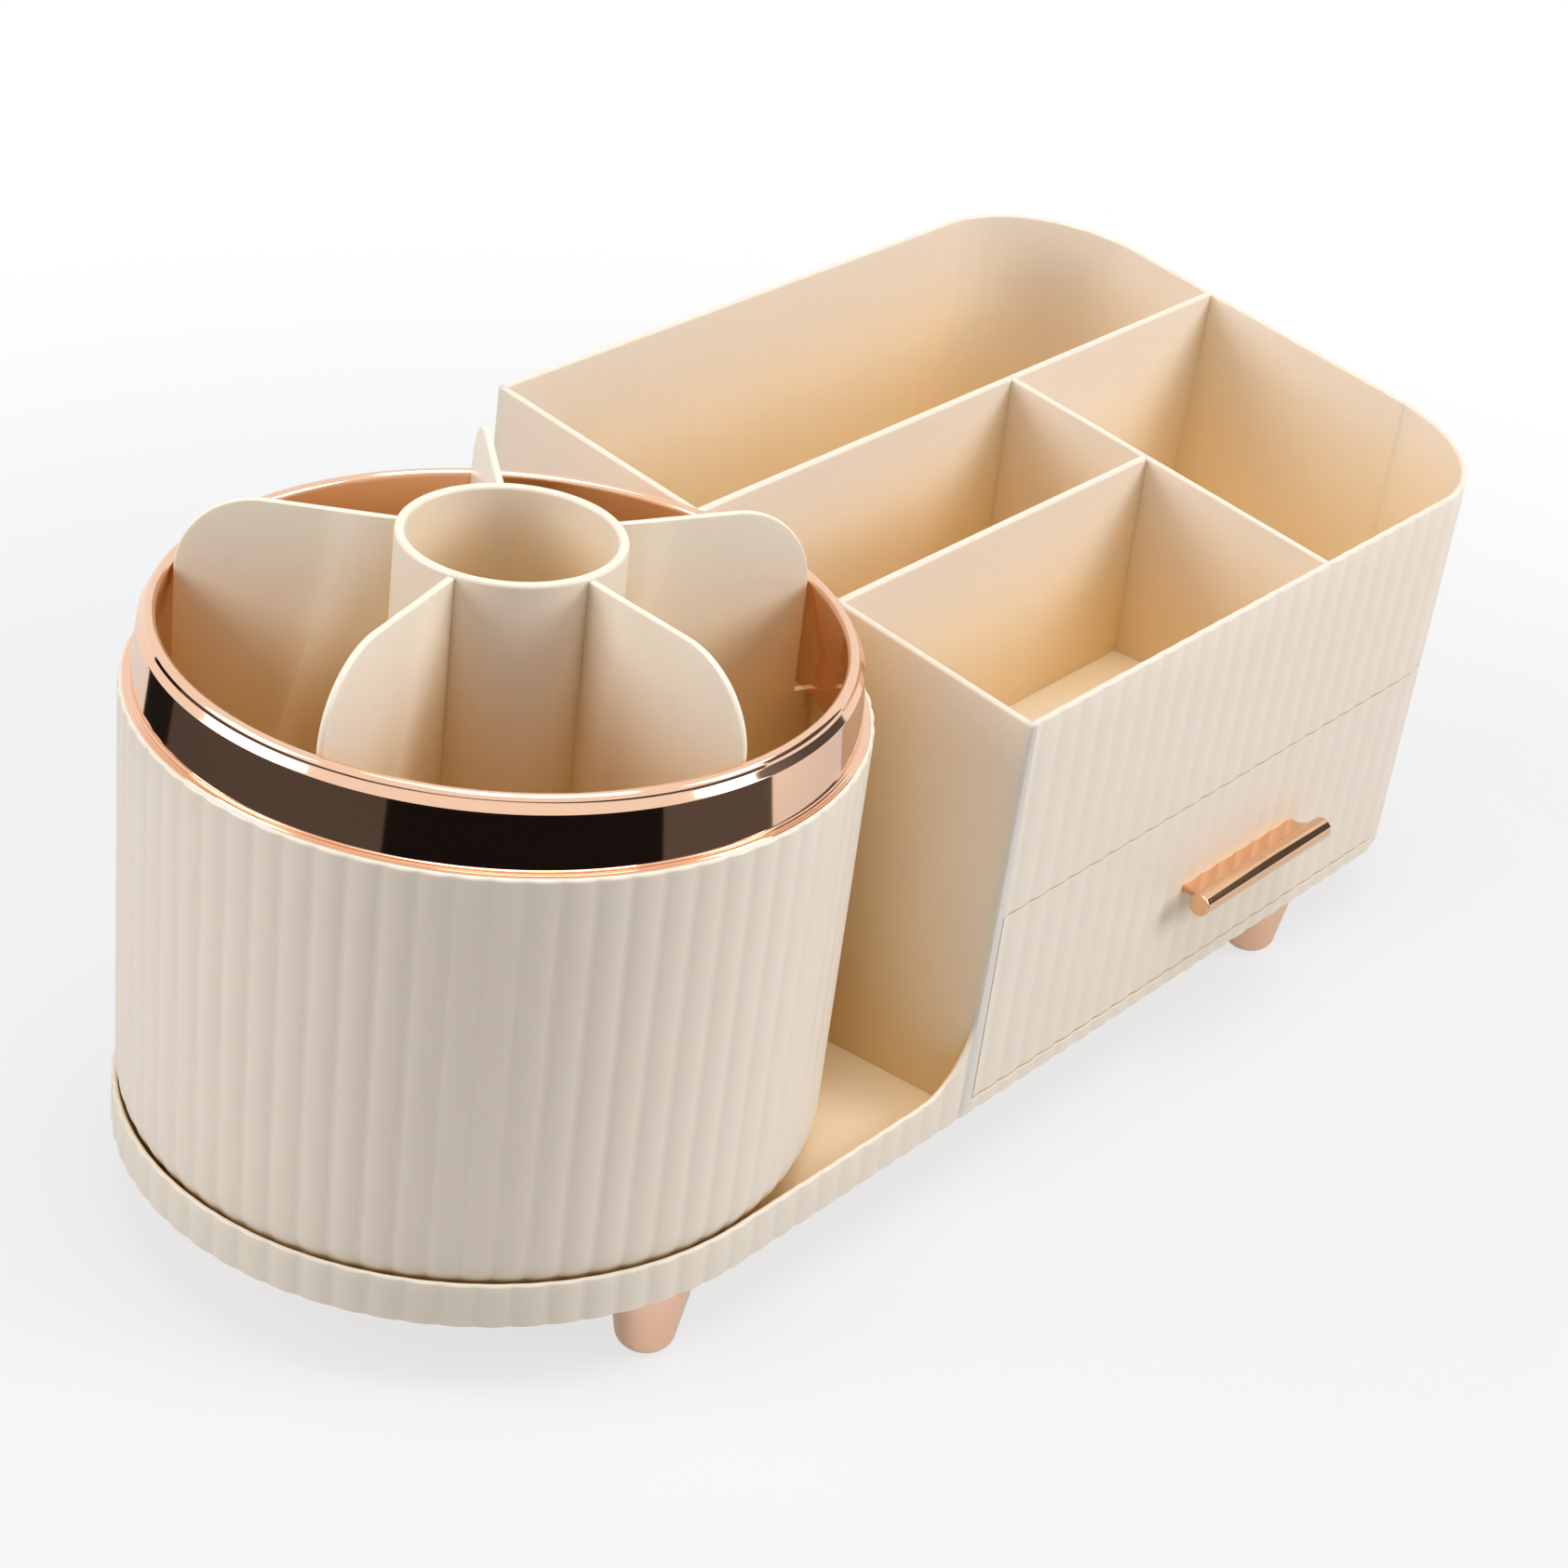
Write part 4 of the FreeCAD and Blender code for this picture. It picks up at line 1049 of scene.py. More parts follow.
@dataclass
class Compartments:
    """Deck with a long divider, a front divider and a cross divider."""

    plan: CasePlan = field(default_factory=CasePlan)
    deck_low: float = 59.4
    deck: float = 1.8
    thick: float = 1.5
    long_y: float = 14.75
    front_y: float = -19.55
    cross_x: float = 79.2
    edge_r: float = 0.55
    gap: float = 0.12
    hair: float = 0.02
    root: float = 0.5  # how far into the deck a divider stands
    sunk: float = 1.1  # how far inside the crests a divider ends, at most
    left: tuple[float, float] = (100.0, 0.5)  # height at which the left ends are set, and depth in the wall
    right: tuple[float, float] = (109.0, 1.2)  # the same for the end wall, from its crests
    front_z: float = 98.0  # the height for the front wall

    def divider(self, surface: Surface, a: tuple[float, float], b: tuple[float, float]) -> None:
        """Add a slab from a to b whose rounded top follows the rim plane.

        Its section is carried along the straight from a to b: up one side, over the top as a
        half turn squeezed to the edge round, and down the other. Where it meets the end wall
        it leans with it.

        Args:
            surface: where the slab goes.
            a: start of its middle line, x and y.
            b: end of its middle line.
        """
        start, end = np.array(a), np.array(b)
        along = (end - start) / np.linalg.norm(end - start)
        across = np.array([along[1], -along[0]])
        share = np.linspace(0, 1, 30)[:, None]
        over, dip = half_turn(9)
        side = np.concatenate([[1.0], 1 - 2 * over, [-1.0]])[None, :] * self.thick / 2
        drop = np.concatenate([[0.0], self.edge_r * dip, [0.0]])[None, :]
        x = start[0] + (end[0] - start[0]) * share + across[0] * side
        y = start[1] + (end[1] - start[1]) * share + across[1] * side
        z = self.plan.rim_mid_z + self.plan.rim_slope * y - drop
        z[:, [0, -1]] = self.deck_low + self.root
        x = np.minimum(x, self.plan.end_x(z) - self.sunk)
        xyz = np.stack([x, y, z], -1)
        surface.grid(xyz, flip=True)
        surface.polygon(xyz[0])
        surface.polygon(xyz[-1], flip=True)

    def outline(self, z: float) -> Array:
        """Outline of the deck, held off the inside of the walls by the gap.

        Args:
            z: height.

        Returns:
            Points of shape (n, 3), counter-clockwise.
        """
        plan = self.plan
        left = plan.side_inner(z) + self.gap
        steps = plan.steps(float(plan.u_front(left, z)), float(plan.u_back(left, z)))
        return plan.at(steps, z, plan.wall(z) + self.gap)

    def build(self) -> None:
        """Build deck and dividers as one moulding."""
        plan, surface = self.plan, Surface()
        low, high = self.outline(self.deck_low + self.hair), self.outline(self.deck_low + self.deck)
        surface.polygon(low, flip=True)
        surface.polygon(high)
        surface.grid(np.stack([low, high], 1), wrap_u=True)
        left = float(plan.side_inner(self.left[0])) - self.left[1]
        right = float(plan.end_x(self.right[0])) - self.right[1]
        front = -float(plan.half(self.front_z)) + self.sunk
        self.divider(surface, (left, self.long_y), (right, self.long_y))
        self.divider(surface, (left, self.front_y), (self.cross_x, self.front_y))
        self.divider(surface, (self.cross_x, front), (self.cross_x, self.long_y))
        piece = surface.make("compartment_moulding")
        place(piece, "base", Slot.IVORY.value, IVORY, "compartment_insert")


# --------------------------------------------------------------------------- the drum


@dataclass
class Drum:
    """Fluted drum with its divider insert and bright trim ring; lengths in mm."""

    plan: CasePlan = field(default_factory=CasePlan)
    flutes: int = 70
    per_flute: int = 8
    top_r: float = 64.5987
    low_r: float = 63.3912
    bottom_z: float = 17.6
    top_z: float = 103.1
    foot_r: float = 10.5
    foot_flute: float = 0.35  # share of the flutes' depth under the foot
    lip_flute: float = 0.4  # and on top of the lip
    wall: float = 2.6
    draft: float = 0.0161
    floor_z: float = 24.0
    floor: float = 2.0
    recess_r: float = 51.5912
    hub_r: float = 5.0
    hub_z: float = 11.2
    bore_r: float = 1.85
    bore_depth: float = 11.0
    edge_r: float = 0.7
    chamfer: float = 0.3
    hair: float = 0.02
    tube_r: float = 19.75
    tube_wall: float = 1.8
    tube_z: float = 132.3
    tube_foot: float = 2.2
    disc_r: float = 50.8
    disc: float = 1.8
    vane_z: float = 131.0
    vane_r: float = 58.0
    vane_corner: float = 16.0
    vane_thick: float = 1.4
    vane_round: float = 0.8  # round of a vane's edge over half its thickness
    vane_start: float = 48.0
    vane_rise: float = 0.5  # how much higher a vane's root is than its corner
    vane_ease: tuple[float, float] = (8.0, 0.1)  # its top run starts so far from the tube, so much lower
    vane_gap: float = 0.5
    vanes: int = 5
    ring_z: float = 116.0
    ring_r: float = 60.7
    ring_band: float = 2.3
    ring_ledge: float = 1.9
    ring_shoulder: tuple[float, float] = (1.0, 1.15)
    ring_skirt: float = 9.2
    skirt: tuple[float, float] = (0.2, 2.2)  # its outside and inside, within the drum's mouth
    skirt_taper: float = 0.15
    skirt_top: tuple[float, float] = (0.05, 1.0)  # from its inside and the drum's top
    flange: float = 1.15
    flange_edge: tuple[tuple[float, float], ...] = (  # from the flange's radius and the drum's top
        (-0.1, 0.01), (0.0, 0.08), (-0.06, 0.18), (-0.5, 0.2), (-0.53, 0.3))
    flange_root: tuple[float, float] = (0.25, 0.33)  # from the ledge and the drum's top
    bead: tuple[float, float] = (0.16, 0.5)  # radius, and height over the drum's top
    neck: tuple[tuple[float, float], ...] = ((-0.15, 0.7), (-0.2, 1.1))  # from the ledge and the drum's top
    shoulder_r: float = 0.5
    hollow_r: float = 0.35
    hollow: tuple[float, float] = (0.38, -0.05)  # its centre, from the crown's radius and height
    notch: tuple[float, float] = (3.0, 4.0)  # width and height
    notch_turn: float = 6.0  # degrees from a vane to its notch

    @property
    def centre(self) -> tuple[float, float]:
        """The drum's axis."""
        return (self.plan.drum_x, 0.0)

    @property
    def mouth(self) -> float:
        """Inside radius at the top."""
        return self.top_r - self.wall

    @property
    def curl(self) -> float:
        """Radius of the round between wall and floor, inside."""
        return self.foot_r - self.wall

    @property
    def inside_z(self) -> float:
        """Height of the floor's upper face."""
        return self.floor_z + self.floor

    def flute(self, angle: Array, weight: Array) -> Array:
        """Radius change: valleys at depth times (2f - 1) squared, f the share across a flute."""
        share = np.mod(angle * self.flutes / (2 * math.pi), 1.0)
        return -self.plan.flute_depth * weight * (2 * share - 1) ** 2

    def wall_foot(self, top_r: float) -> Array:
        """Arc in which a drafted wall inside the drum turns into the floor.

        The wall's radius falls from top_r by draft for each mm below the drum's top, and the
        arc is a quarter turn of the curl's radius that ends level with the floor.

        Args:
            top_r: radius of the wall at the drum's top.

        Returns:
            (radius, z) points from the wall to the floor.
        """
        curl, low = self.curl, self.inside_z
        wall_r = top_r - self.draft * (self.top_z - low - curl)
        return turn((wall_r - curl, low + curl), curl, 0, -90, 8)

    def build_shell(self) -> None:
        """Revolve the drum: hub, recess, rounded foot, fluted wall, lip, inside and floor.

        The third column of its profile is the flutes' weight. It grows over the foot as the
        sine of the angle from foot_flute to 1, and falls over the lip as its cosine from 1
        to lip_flute.
        """
        edge, bore_z = self.chamfer, self.hub_z + self.bore_depth
        round_z, lip_z = self.bottom_z + self.foot_r, self.top_z - self.edge_r
        foot = turn((self.low_r - self.foot_r, round_z), self.foot_r, -90, 0, 12)
        foot_w = self.foot_flute + (1 - self.foot_flute) * np.sin(np.linspace(0, math.pi / 2, len(foot)))
        wall_z = np.linspace(round_z, lip_z, 8)[1:]
        wall_r = self.low_r + (self.top_r - self.low_r) * (wall_z - round_z) / (self.top_z - round_z)
        lip = turn((self.top_r - self.edge_r, lip_z), self.edge_r, 0, 90, 5)
        lip_w = self.lip_flute + (1 - self.lip_flute) * np.cos(np.linspace(0, math.pi / 2, len(lip)))
        curve = self.wall_foot(self.mouth)
        profile = np.vstack([
            [(self.bore_r, bore_z, 0), (self.bore_r, self.hub_z, 0),
             (self.hub_r - edge, self.hub_z, 0), (self.hub_r, self.hub_z + edge, 0),
             (self.hub_r, self.floor_z, 0), (self.recess_r, self.floor_z, 0),
             (self.recess_r, self.bottom_z, 0)],
            np.column_stack([foot, foot_w]),
            np.column_stack([wall_r, wall_z, np.ones(len(wall_z))]),
            np.column_stack([lip, lip_w])[1:],
            [(self.mouth + edge, self.top_z, 0), (self.mouth, self.top_z - edge, 0)],
            np.column_stack([curve, np.zeros(len(curve))]),
            [(0.0, self.inside_z, 0), (0.0, bore_z, 0), (self.bore_r, bore_z, 0)]])
        surface = Surface()
        surface.revolve(profile, self.centre, self.flutes * self.per_flute, self.flute)
        place(surface.make("drum_moulding"), "drum", Slot.IVORY.value, IVORY, "drum_shell")

    def vane_outline(self) -> Array:
        """Outline of a vane, from its root up, out over the round corner and down.

        Returns:
            (radius, z) points of shape (n, 2).
        """
        corner_r, rise = self.vane_corner, self.vane_z + self.vane_rise
        corner = turn((self.vane_r - corner_r, self.vane_z - corner_r), corner_r, 90, 0, 24)
        widest = self.mouth - self.vane_gap
        step = self.top_z - self.ring_skirt
        root = self.tube_r - self.tube_wall / 2
        out, down = self.vane_ease
        top = np.linspace((self.tube_r + out, rise - down), corner[0], 4)[:-1]
        return np.vstack([[(root, self.inside_z), (root, rise)], top, corner,
                          [(self.vane_r, step), (widest - self.draft * self.ring_skirt, step)],
                          self.wall_foot(widest)])

    def vane(self, surface: Surface, degrees: float) -> None:
        """Add one vane: two flat faces joined by an edge whose round is a half turn across it.

        For t from 0 to a half turn, the edge lies half a thickness times cos t to the side,
        and is drawn in along the outline's normal by the round times 1 - sin t. The root and
        the foot's end, which are inside other walls, are not drawn in.

        Args:
            surface: where the vane goes.
            degrees: its azimuth.
        """
        outline = self.vane_outline()
        ahead = np.roll(outline, -1, axis=0) - np.roll(outline, 1, axis=0)
        normal = np.stack([ahead[:, 1], -ahead[:, 0]], -1)
        normal /= np.maximum(np.linalg.norm(normal, axis=1), 1e-9)[:, None]
        normal[[0, 1, -1]] = 0.0
        half = self.vane_thick / 2
        over, dip = half_turn(7)
        side = (1 - 2 * over)[None, :] * half
        shrink = dip[None, :] * half * self.vane_round
        r = outline[:, :1] + normal[:, :1] * shrink
        z = outline[:, 1:] + normal[:, 1:] * shrink
        c, s = math.cos(math.radians(degrees)), math.sin(math.radians(degrees))
        x = self.centre[0] + r * c + side * s
        y = self.centre[1] + r * s - side * c
        xyz = np.stack([x, y, z], -1)
        surface.grid(xyz, wrap_u=True)
        surface.polygon(xyz[:, 0], flip=True)
        surface.polygon(xyz[:, -1])

    def build_insert(self) -> None:
        """Revolve the brush tube with its round floor, and add the vanes, as one moulding."""
        low, edge, disc_r = self.inside_z, self.chamfer, self.disc_r
        inner, outer, top = self.tube_r - self.tube_wall, self.tube_r, self.tube_z
        face, lip, foot = low + self.disc, self.tube_wall / 2, self.tube_foot
        profile = np.vstack([
            [(0.0, low + self.hair), (disc_r - edge, low + self.hair), (disc_r, low + edge),
             (disc_r, face - edge), (disc_r - edge, face), (outer, face), (outer, top - lip)],
            turn((outer - lip, top - lip), lip, 0, 180, 10)[1:],
            [(inner, face + foot)],
            turn((inner - foot, face + foot), foot, 0, -90, 5)[1:],
            [(0.0, face)]])
        surface = Surface()
        surface.revolve(profile, self.centre, 160)
        for k in range(self.vanes):
            self.vane(surface, self.vane_start + 360.0 * k / self.vanes)
        # the insert wears the lighter copy of the ivory: painted light on its thin walls
        place(surface.make("divider_moulding"), "drum", Slot.IVORY.value, PAINTED_LIGHT_IVORY, "divider_insert")

    def ring_notch(self, angle: Array, weight: Array) -> Array:
        """Rise of the skirt's lower edge: a notch's height within half its width of its middle.

        Args:
            angle: angles round the drum.
            weight: 1 on the skirt's lower edge and 0 elsewhere.

        Returns:
            The rise.
        """
        width, height = self.notch
        step = 2 * math.pi / self.vanes
        first = math.radians(self.vane_start + self.notch_turn)
        away = np.abs(np.mod(angle - first + step / 2, step) - step / 2)
        return height * weight * (away < width / 2 / self.ring_r)

    def build_ring(self) -> None:
        """Revolve the trim ring.

        Its profile is run from the skirt's foot up its outside, out and back along the flange,
        up the bead, the band and the sloping shoulder, over the rounded crown and down.
        """
        outer = self.top_r - self.ring_ledge
        base, low = self.top_z, self.top_z - self.ring_skirt
        skirt_out, skirt_in = (self.mouth - inset for inset in self.skirt)
        crown = self.ring_band / 2
        crown_z = self.ring_z - crown
        out, down = self.ring_shoulder
        bead_r, bead_z = self.bead
        shoulder, side = self.shoulder_r, self.hollow
        profile = np.vstack([
            [(skirt_in, low), (skirt_out - self.skirt_taper, low), (skirt_out, base)],
            np.array(self.flange_edge) + (outer + self.flange, base),
            np.array([self.flange_root]) + (outer, base),
            turn((outer, base + bead_z), bead_r, -60, 80, 5),
            np.array(self.neck) + (outer, base),
            turn((self.ring_r + out - shoulder, crown_z - down - shoulder), shoulder, 5, 45, 4),
            turn((self.ring_r + side[0], crown_z + side[1]), self.hollow_r, 225, 185, 4),
            turn((self.ring_r - crown, crown_z), crown, 0, 180, 14),
            np.array([self.skirt_top]) + (skirt_in, base),
            [(skirt_in, low)]])
        surface = Surface()
        profile = np.column_stack([profile, profile[:, 1] == low])
        surface.revolve(profile, self.centre, 288, lift=self.ring_notch)
        piece = surface.make("bright_ring", METAL_CREASE)
        place(piece, "drum", Slot.PLATE.value, ROSE_PLATE, "trim_ring")

    def build(self) -> None:
        """Build the three visible pieces of the drum."""
        self.build_shell()
        self.build_insert()
        self.build_ring()


# --------------------------------------------------------------------------- the drawer


@dataclass
class Drawer:
    """Wrapped fluted front, open tray and bar handle; lengths in mm."""

    plan: CasePlan = field(default_factory=CasePlan)
    low: float = 18.15
    high: float = 57.55
    gap: float = 0.35
    end_y: float = -37.55
    front: float = 2.6
    front_edge: float = 0.2
    mid_z: float = 40.0  # height at which the wrapped end's flute number is taken
    end_columns: int = 4
    wall: float = 1.8
    wall_z: float = 54.55
    rim_drop: float = 0.6
    foot_edge: float = 0.4
    fillet: float = 1.2
    side_gap: float = 0.8
    back_y: float = 58.5
    stop_x: tuple[float, float] = (10.0, 110.0)
    lug_half: float = 2.5
    lug: float = 2.0
    lug_z: tuple[float, float] = (48.55, 57.2)
    hair: float = 0.02
    handle_x: float = 64.7
    handle_z: float = 37.4
    bar_r: float = 2.34
    bar_length: float = 46.3
    bar_reach: float = 5.6
    bar_edge: float = 0.35
    plate: float = 1.6
    plate_width: float = 40.0
    plate_edge: float = 0.25
    plate_sunk: float = 0.9
    neck: float = 2.0
    tab_x: tuple[float, float] = (-11.0, 11.0)
    tab_half: float = 4.0
    tab_lap: float = 1.0
    tab_inset: float = 0.06
    tab_y: float = -58.0

    def build_front(self) -> None:
        """Fluted band between the side wall and the end wall, all its edges rounded."""
        plan, surface = self.plan, Surface()

        def slab_u(z: Array) -> Array:
            """Flute number beside the side wall at heights z."""
            return plan.u_front(plan.side_inner(z) + self.gap, z)

        def end_u(z: Number) -> Array:
            """Flute number of the wrapped end at heights z."""
            return plan.u_front_corner(self.end_y, z)

        steps = plan.steps(0.0, float(end_u(self.mid_z)))
        u_at = plan.follow(steps, slab_u, end_u, lead=self.end_columns)
        count = len(steps) + self.end_columns
        WallBand(plan, u_at, np.full(count, self.low), np.full(count, self.high), lambda z: self.front + 0 * z,
                 self.front_edge, self.front_edge, rows=5).add_to(surface)
        place(surface.make("drawer_face"), "drawer", Slot.IVORY.value, IVORY, "drawer_front")

    def loop(self, z: float, extra: float) -> Array:
        """Outline of the tray at one height.

        It runs with the case's outline, inside it by the front's thickness and extra, from the
        side wall to where the back corner's arc reaches the tray's back: there the sine of the
        arc's angle is (back - half width + r) / (r - inset). Two straights close it.

        Args:
            z: height.
            extra: distance inside the tray's outer face.

        Returns:
            Points of shape (n, 3), counter-clockwise.
        """
        plan = self.plan
        left = float(plan.side_inner(z)) + self.side_gap + extra
        inset, back = self.front + extra, self.back_y - extra
        low_u = float(plan.u_front(left, z))
        reach = (back - float(plan.half(z)) + plan.back_r) / (plan.back_r - inset)
        parts, ends = plan.lengths(np.asarray(z, float))
        along = float(parts[1] + parts[2]) + plan.back_r * math.asin(min(1.0, reach))
        high_u = plan.runs[0] + along * plan.runs[1] / float(ends[4] - ends[0])
        curve = plan.at(low_u + (high_u - low_u) * np.linspace(0, 1, 260), z, inset)
        rear = np.linspace(curve[-1, :2], (left, back), 40)[1:]
        side = np.linspace((left, back), curve[0, :2], 40)[1:-1]
        flat = np.concatenate([rear, side])
        return np.concatenate([curve, np.column_stack([flat, np.full(len(flat), z)])])

    def build_tray(self) -> None:
        """Tray walls with a rounded top, flat floor, and the two lugs that meet the stops.

        Its section is run from the floor's outer edge up the outside, over the top as a half
        turn squeezed to the rim's drop, and down the inside to the fillet and the floor.
        """
        surface = Surface()
        low, high, wall = self.low, self.wall_z, self.wall
        middle, floor = (low + high) / 2, low + wall
        stations = [(low, self.foot_edge), (low + self.foot_edge, 0.0), (middle, 0.0)]
        stations += [(high - self.rim_drop * dip, wall * over) for over, dip in zip(*half_turn(9))]
        stations += [(middle, wall), (floor + self.fillet, wall), (floor, wall + self.fillet)]
        rows = [self.loop(z, extra) for z, extra in stations]
        surface.grid(np.stack(rows, 1), wrap_u=True)
        surface.polygon(rows[0], flip=True)
        surface.polygon(rows[-1])
        for x in self.stop_x:
            surface.block((x - self.lug_half, self.back_y - self.lug, self.lug_z[0]),
                          (x + self.lug_half, self.back_y - self.hair, self.lug_z[1]))
        place(surface.make("drawer_box"), "drawer", Slot.IVORY.value, IVORY, "drawer_tray")

    def bar(self, surface: Surface, y: float) -> None:
        """Add the bar: a (radius, distance) profile with rounded ends, turned about its axis.

        Args:
            surface: where the bar goes.
            y: place of its axis, which runs along x.
        """
        length, edge = self.bar_length, self.bar_edge
        arc = turn((self.bar_r - edge, 0.0), edge, 90, 0, 5)
        first = np.vstack([[(0.0, 0.0)], np.column_stack([arc[:, 0], edge - arc[:, 1]])])
        last = np.column_stack([first[::-1, 0], length - first[::-1, 1]])
        radius, along = np.concatenate([first, last]).T[:, None, :]
        angle = np.linspace(0, 2 * math.pi, 48, endpoint=False)[:, None]
        x = self.handle_x - length / 2 + along + 0 * angle
        xyz = np.stack([x, y + radius * np.sin(angle), self.handle_z + radius * np.cos(angle)], -1)
        surface.grid(xyz, wrap_u=True, flip=True)

    def bar_plate(self, surface: Surface, y: float) -> None:
        """Add the plate whose neck flares into the bar, and the tabs through the front.

        Half its outline goes from the drawer's face out, round a quarter circle and along the
        bar, the other half is the mirror of that, and both faces shrink toward the middle by
        the edge.

        Args:
            surface: where the plate goes.
            y: place of the bar's axis.
        """
        neck, half, edge, middle_x = self.neck, self.plate_width / 2, self.plate_edge, self.handle_x
        face = -float(self.plan.half(self.handle_z)) + self.plate_sunk
        arc = turn((middle_x + half + neck, y + self.bar_r + neck), neck, 180, 270, 6)
        right = np.vstack([[(middle_x + half, face)], arc, [(middle_x + half + neck, y)]])
        left = np.column_stack([2 * middle_x - right[::-1, 0], right[::-1, 1]])
        outline = np.vstack([right, left])[::-1]
        middle = outline.mean(axis=0)
        low, high = self.handle_z - self.plate / 2, self.handle_z + self.plate / 2
        rows = []
        for z, shrink in ((low, edge), (low + edge, 0.0), (high - edge, 0.0), (high, edge)):
            ring = middle + (outline - middle) * (1 - shrink / half)
            rows.append(np.column_stack([ring, np.full(len(ring), z)]))
        surface.grid(np.stack(rows, 1), wrap_u=True)
        surface.polygon(rows[0], flip=True)
        surface.polygon(rows[-1])
        for x in self.tab_x:
            surface.block((middle_x + x - self.tab_half, face - self.tab_lap, low + self.tab_inset),
                          (middle_x + x + self.tab_half, self.tab_y, high - self.tab_inset))

    def build_handle(self) -> None:
        """Build bar, plate and tabs as one casting."""
        surface = Surface()
        y = -float(self.plan.half(self.handle_z)) - self.bar_reach
        self.bar(surface, y)
        self.bar_plate(surface, y)
        piece = surface.make("bar_handle", METAL_CREASE)
        place(piece, "drawer", Slot.METAL.value, ROSE_METAL, "drawer_handle")

    def build(self) -> None:
        """Build front, tray and handle."""
        self.build_front()
        self.build_tray()
        self.build_handle()


# --------------------------------------------------------------------------- feet and hidden parts


@dataclass
class Feet:
    """Four tapered feet with rounded ends; lengths in mm."""

    top_r: float = 7.6
    bottom_r: float = 5.5
    end_r: float = 3.4
    height: float = 15.0
    waist: tuple[float, float] = (1.68, 2.7)  # wider than the tip, and under the top
    socket: tuple[float, float] = (1.5, 7.0)  # radius and lower end of the screw's hole
    hair: float = 0.02
    spots: dict[str, tuple[float, float]] = field(default_factory=lambda: {
        "front_drum": (-103.1987, -55.0), "back_drum": (-103.1987, 55.0),
        "front_box": (93.9, -55.0), "back_box": (93.9, 55.0)})

    def build(self) -> None:
        """Revolve each foot: flat tip, round, gentle taper, top under the case and socket."""
        wide, down = self.waist
        hole_r, hole_z = self.socket
        top = self.height - self.hair
        profile = np.vstack([[(0.0, 0.0)], turn((self.bottom_r - self.end_r, self.end_r), self.end_r, -90, 0, 10),
                             [(self.bottom_r + wide, self.height - down), (self.top_r, top),
                              (hole_r, top), (hole_r, hole_z), (0.0, hole_z)]])
        for name, centre in self.spots.items():
            surface = Surface()
            surface.revolve(profile, centre, 72)
            place(surface.make("plated_foot_" + name), "base", Slot.PLATE.value, ROSE_PLATE, "foot_" + name)


@dataclass
class HiddenParts:
    """Carried-over CAD nodes: their finish only."""

    finishes: dict[str, Finish] = field(default_factory=lambda: {
        "turntable_lower_race": ACETAL, "turntable_upper_race": ACETAL, "turntable_ball_cage": ACETAL,
        "turntable_balls": BALL_STEEL, "foot_screws": STEEL, "pivot_washer": STEEL, "pivot_screw": STEEL,
        "handle_clips": STEEL})

    def dress(self) -> None:
        """Give each shown node its material."""
        for name, finish in self.finishes.items():
            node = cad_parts[name]
            node.data.materials.clear()
            node.data.materials.append(finish.material())
            LOG.info("%s keeps its solid", name)


# --------------------------------------------------------------------------- studio


@dataclass(frozen=True)
class StageFloor(Finish):
    """Matt floor that turns white to the camera away from the object's shadow."""

    colour: Triple = (0.60, 0.60, 0.60)
    near_share: tuple[float, float] = (0.35, 0.72)  # of white near the object, in reflections and to the camera
    fade: tuple[float, float] = (0.2, 0.42)  # metres from the middle over which it turns all white

    def build(self, book: NodeBook) -> None:
        """Fill the node tree.

        The share of white is 0 for rays that only light things. For the others it eases from
        the near share to 1 with the distance from the middle.

        Args:
            book: the material's nodes.
        """
        camera = book.add("ShaderNodeLightPath").outputs["Is Camera Ray"]
        near = book.spread(camera, *self.near_share)
        white = book.spread(book.length(book.place()), near, 1.0, span=self.fade, smooth=True)
        matt = book.add("ShaderNodeBsdfDiffuse", Color=(*self.colour, 1))
        glow = book.add("ShaderNodeEmission", Color=(1, 1, 1, 1), Strength=1.0)
        book.finish_mixed(book.math("MULTIPLY", book.sight(), white), matt, glow)


@dataclass(frozen=True)
class DarkCloth(Finish):
    """Dull woven cloth, a little warm."""

    shade: float
    warmth: Triple = (1.0, 0.9, 0.82)

    def build(self, book: NodeBook) -> None:
        """Fill the node tree with one matt colour."""
        book.finish(book.add("ShaderNodeBsdfDiffuse", Color=(*(self.shade * part for part in self.warmth), 1)))


@dataclass(frozen=True)
class SoftBox:
    """A square lamp that looks at the object; place and size in metres, power in watts."""

    name: str
    spot: Triple
    power: float
    size: float
    target: Triple = (0.0, 0.0, 0.06)

    def add(self, colour: Triple) -> None:
        """Add the lamp.

        Args:
            colour: colour of its light.
        """
        data = bpy.data.lights.new(self.name, "AREA")
        data.energy, data.size, data.color = self.power, self.size, colour
        lamp = bpy.data.objects.new(self.name, data)
        bpy.context.scene.collection.objects.link(lamp)
        lamp.location = self.spot
        aim = Vector(self.target) - Vector(self.spot)
        lamp.rotation_euler = aim.to_track_quat("-Z", "Y").to_euler()


@dataclass(frozen=True)
class StageCloth:
    """A dark cloth, a sector round the drum's axis, that only bright surfaces reflect.

    It runs from azimuth start to end, in degrees, and from near to far, in mm. Its near side
    lies on the floor and its far side is top mm high.
    """

    name: str
    start: float
    end: float
    shade: float  # how much light it returns
    near: float = 226.0
    far: float = 2200.0
    top: float = 1.0
    lying: float = 1.0
    steps: int = 40

    def add(self) -> None:
        """Add the cloth, hidden from the camera and from soft light, and casting no shadow."""
        angle = np.radians(np.linspace(self.start, self.end, self.steps))
        rings = [np.stack([CasePlan.drum_x + r * np.cos(angle), r * np.sin(angle), np.full(self.steps, z)], -1)
                 for r, z in ((self.near, self.lying), (self.far, self.top))]
        surface = Surface()
        surface.grid(np.stack(rings, 1), flip=True)
        cloth = surface.make(self.name)
        cloth.data.materials.append(DarkCloth(self.name, self.shade).material())
        cloth.visible_camera = False
        cloth.visible_shadow = False
        cloth.visible_diffuse = False


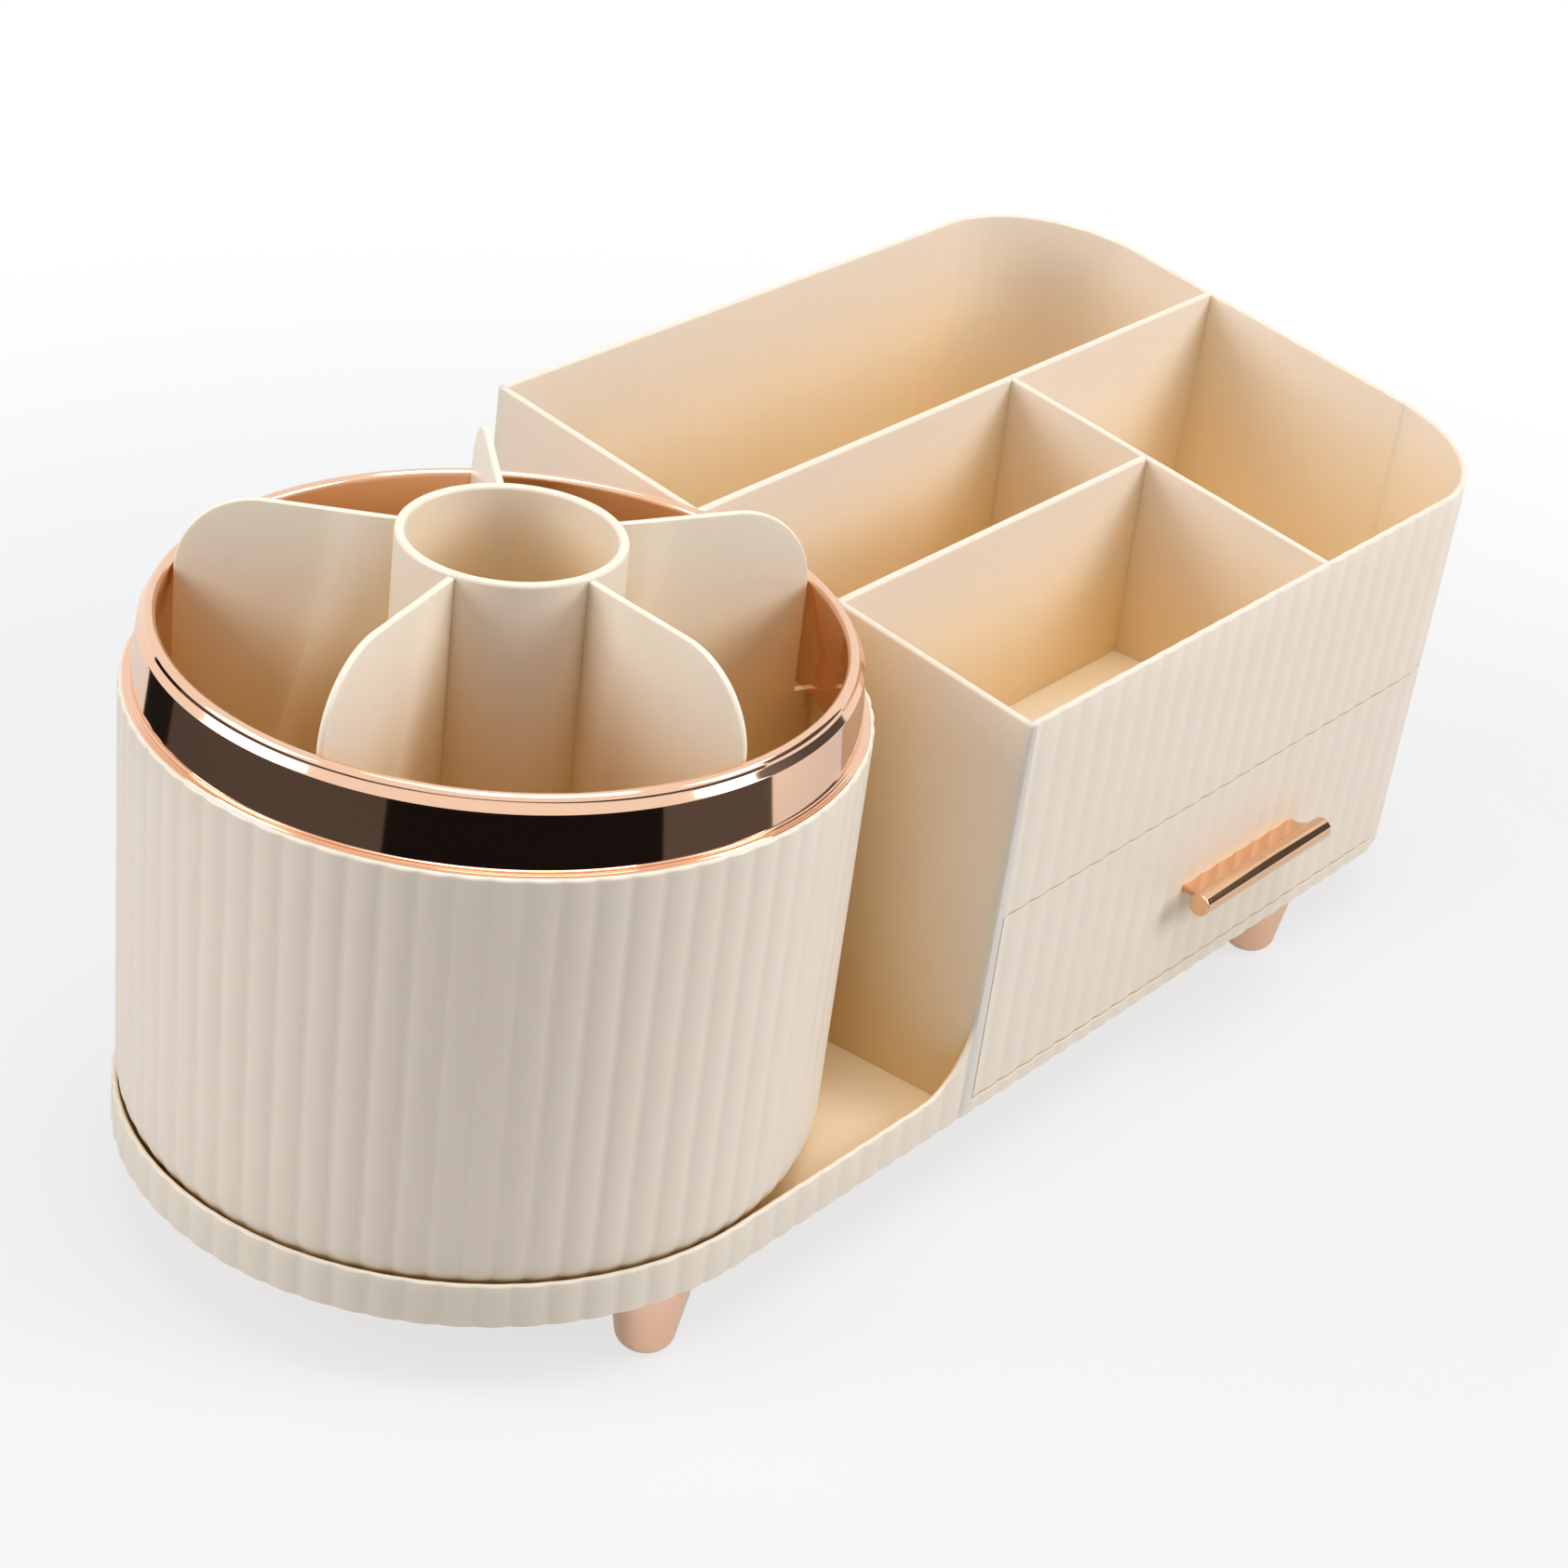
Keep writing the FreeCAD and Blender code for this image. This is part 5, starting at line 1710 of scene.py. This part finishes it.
@dataclass
class Studio:
    """Pale floor, soft lamps, dark cloths and the camera."""

    lamps: tuple[SoftBox, ...] = (
        SoftBox("right_box", (0.94, -1.42, 1.05), 22.0, 1.0),
        SoftBox("left_box", (-1.30, 1.05, 0.95), 18.5, 1.0),
        SoftBox("top_box", (-0.12, -0.24, 2.0), 26.0, 1.3))
    cloths: tuple[StageCloth, ...] = (
        StageCloth("black_cloth_left", -263.0, -245.0, 0.012),
        StageCloth("dim_cloth_left", -245.0, -168.0, 0.075),
        StageCloth("black_cloth_front", -168.0, -91.0, 0.008),
        StageCloth("dim_cloth_right", -91.0, -54.0, 0.085),
        StageCloth("upright_cloth_right", -52.0, -14.0, 0.12, 1650.0, 1650.0, 1150.0))
    lamp_colour: Triple = (0.97, 0.99, 1.06)
    fill: float = 0.12
    floor_half: float = 6000.0  # mm
    lens: float = 86.46  # mm
    sensor: float = 36.0  # mm, its width
    clips: tuple[float, float] = (0.01, 50.0)
    eye: Triple = (-0.525697, -0.365852, 0.406289)
    axes: tuple[Triple, Triple, Triple] = (  # the view's right, down and ahead
        (0.621719, -0.775947, 0.106641),
        (-0.322809, -0.377905, -0.867746),
        (0.713624, 0.505069, -0.485433))

    def floor(self) -> None:
        """Lay the wide floor."""
        surface, half = Surface(), self.floor_half
        corners = [(-half, -half, 0), (half, -half, 0), (half, half, 0), (-half, half, 0)]
        surface.polygon(np.array(corners, float))
        piece = surface.make("studio_floor")
        piece.data.materials.append(StageFloor("studio_white").material())

    def world(self) -> None:
        """White to camera, glossy and transmission rays; a plain soft fill otherwise."""
        world = bpy.data.worlds.new("studio_world")
        bpy.context.scene.world = world
        world.use_nodes = True
        book = NodeBook(world.node_tree, "ShaderNodeOutputWorld")
        fill = book.add("ShaderNodeBackground", Color=(*self.lamp_colour, 1), Strength=self.fill)
        white = book.add("ShaderNodeBackground", Color=(1, 1, 1, 1), Strength=1.0)
        book.finish_mixed(book.sight(), fill, white)

    def camera(self) -> None:
        """Set the camera from its three axes and its place."""
        data = bpy.data.cameras.new("studio_camera")
        data.lens, data.sensor_width = self.lens, self.sensor
        data.clip_start, data.clip_end = self.clips
        camera = bpy.data.objects.new("studio_camera", data)
        bpy.context.scene.collection.objects.link(camera)
        right, down, ahead = (Vector(row) for row in self.axes)
        turned = Matrix((right, -down, -ahead)).transposed().to_4x4()
        camera.matrix_world = Matrix.Translation(Vector(self.eye)) @ turned
        bpy.context.scene.camera = camera

    def build(self) -> None:
        """Set up floor, world, lamps, cloths, camera and the view transform."""
        self.floor()
        self.world()
        for lamp in self.lamps:
            lamp.add(self.lamp_colour)
        for cloth in self.cloths:
            cloth.add()
        self.camera()
        bpy.context.scene.view_settings.view_transform = "Standard"
        LOG.info("studio ready")


def main() -> None:
    """Build every piece in order and set up the studio."""
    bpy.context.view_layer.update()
    plan = CasePlan()
    Case(plan).build()
    Compartments(plan).build()
    Drum(plan).build()
    Drawer(plan).build()
    Feet().build()
    HiddenParts().dress()
    Studio().build()


if __name__ == "__main__":
    main()
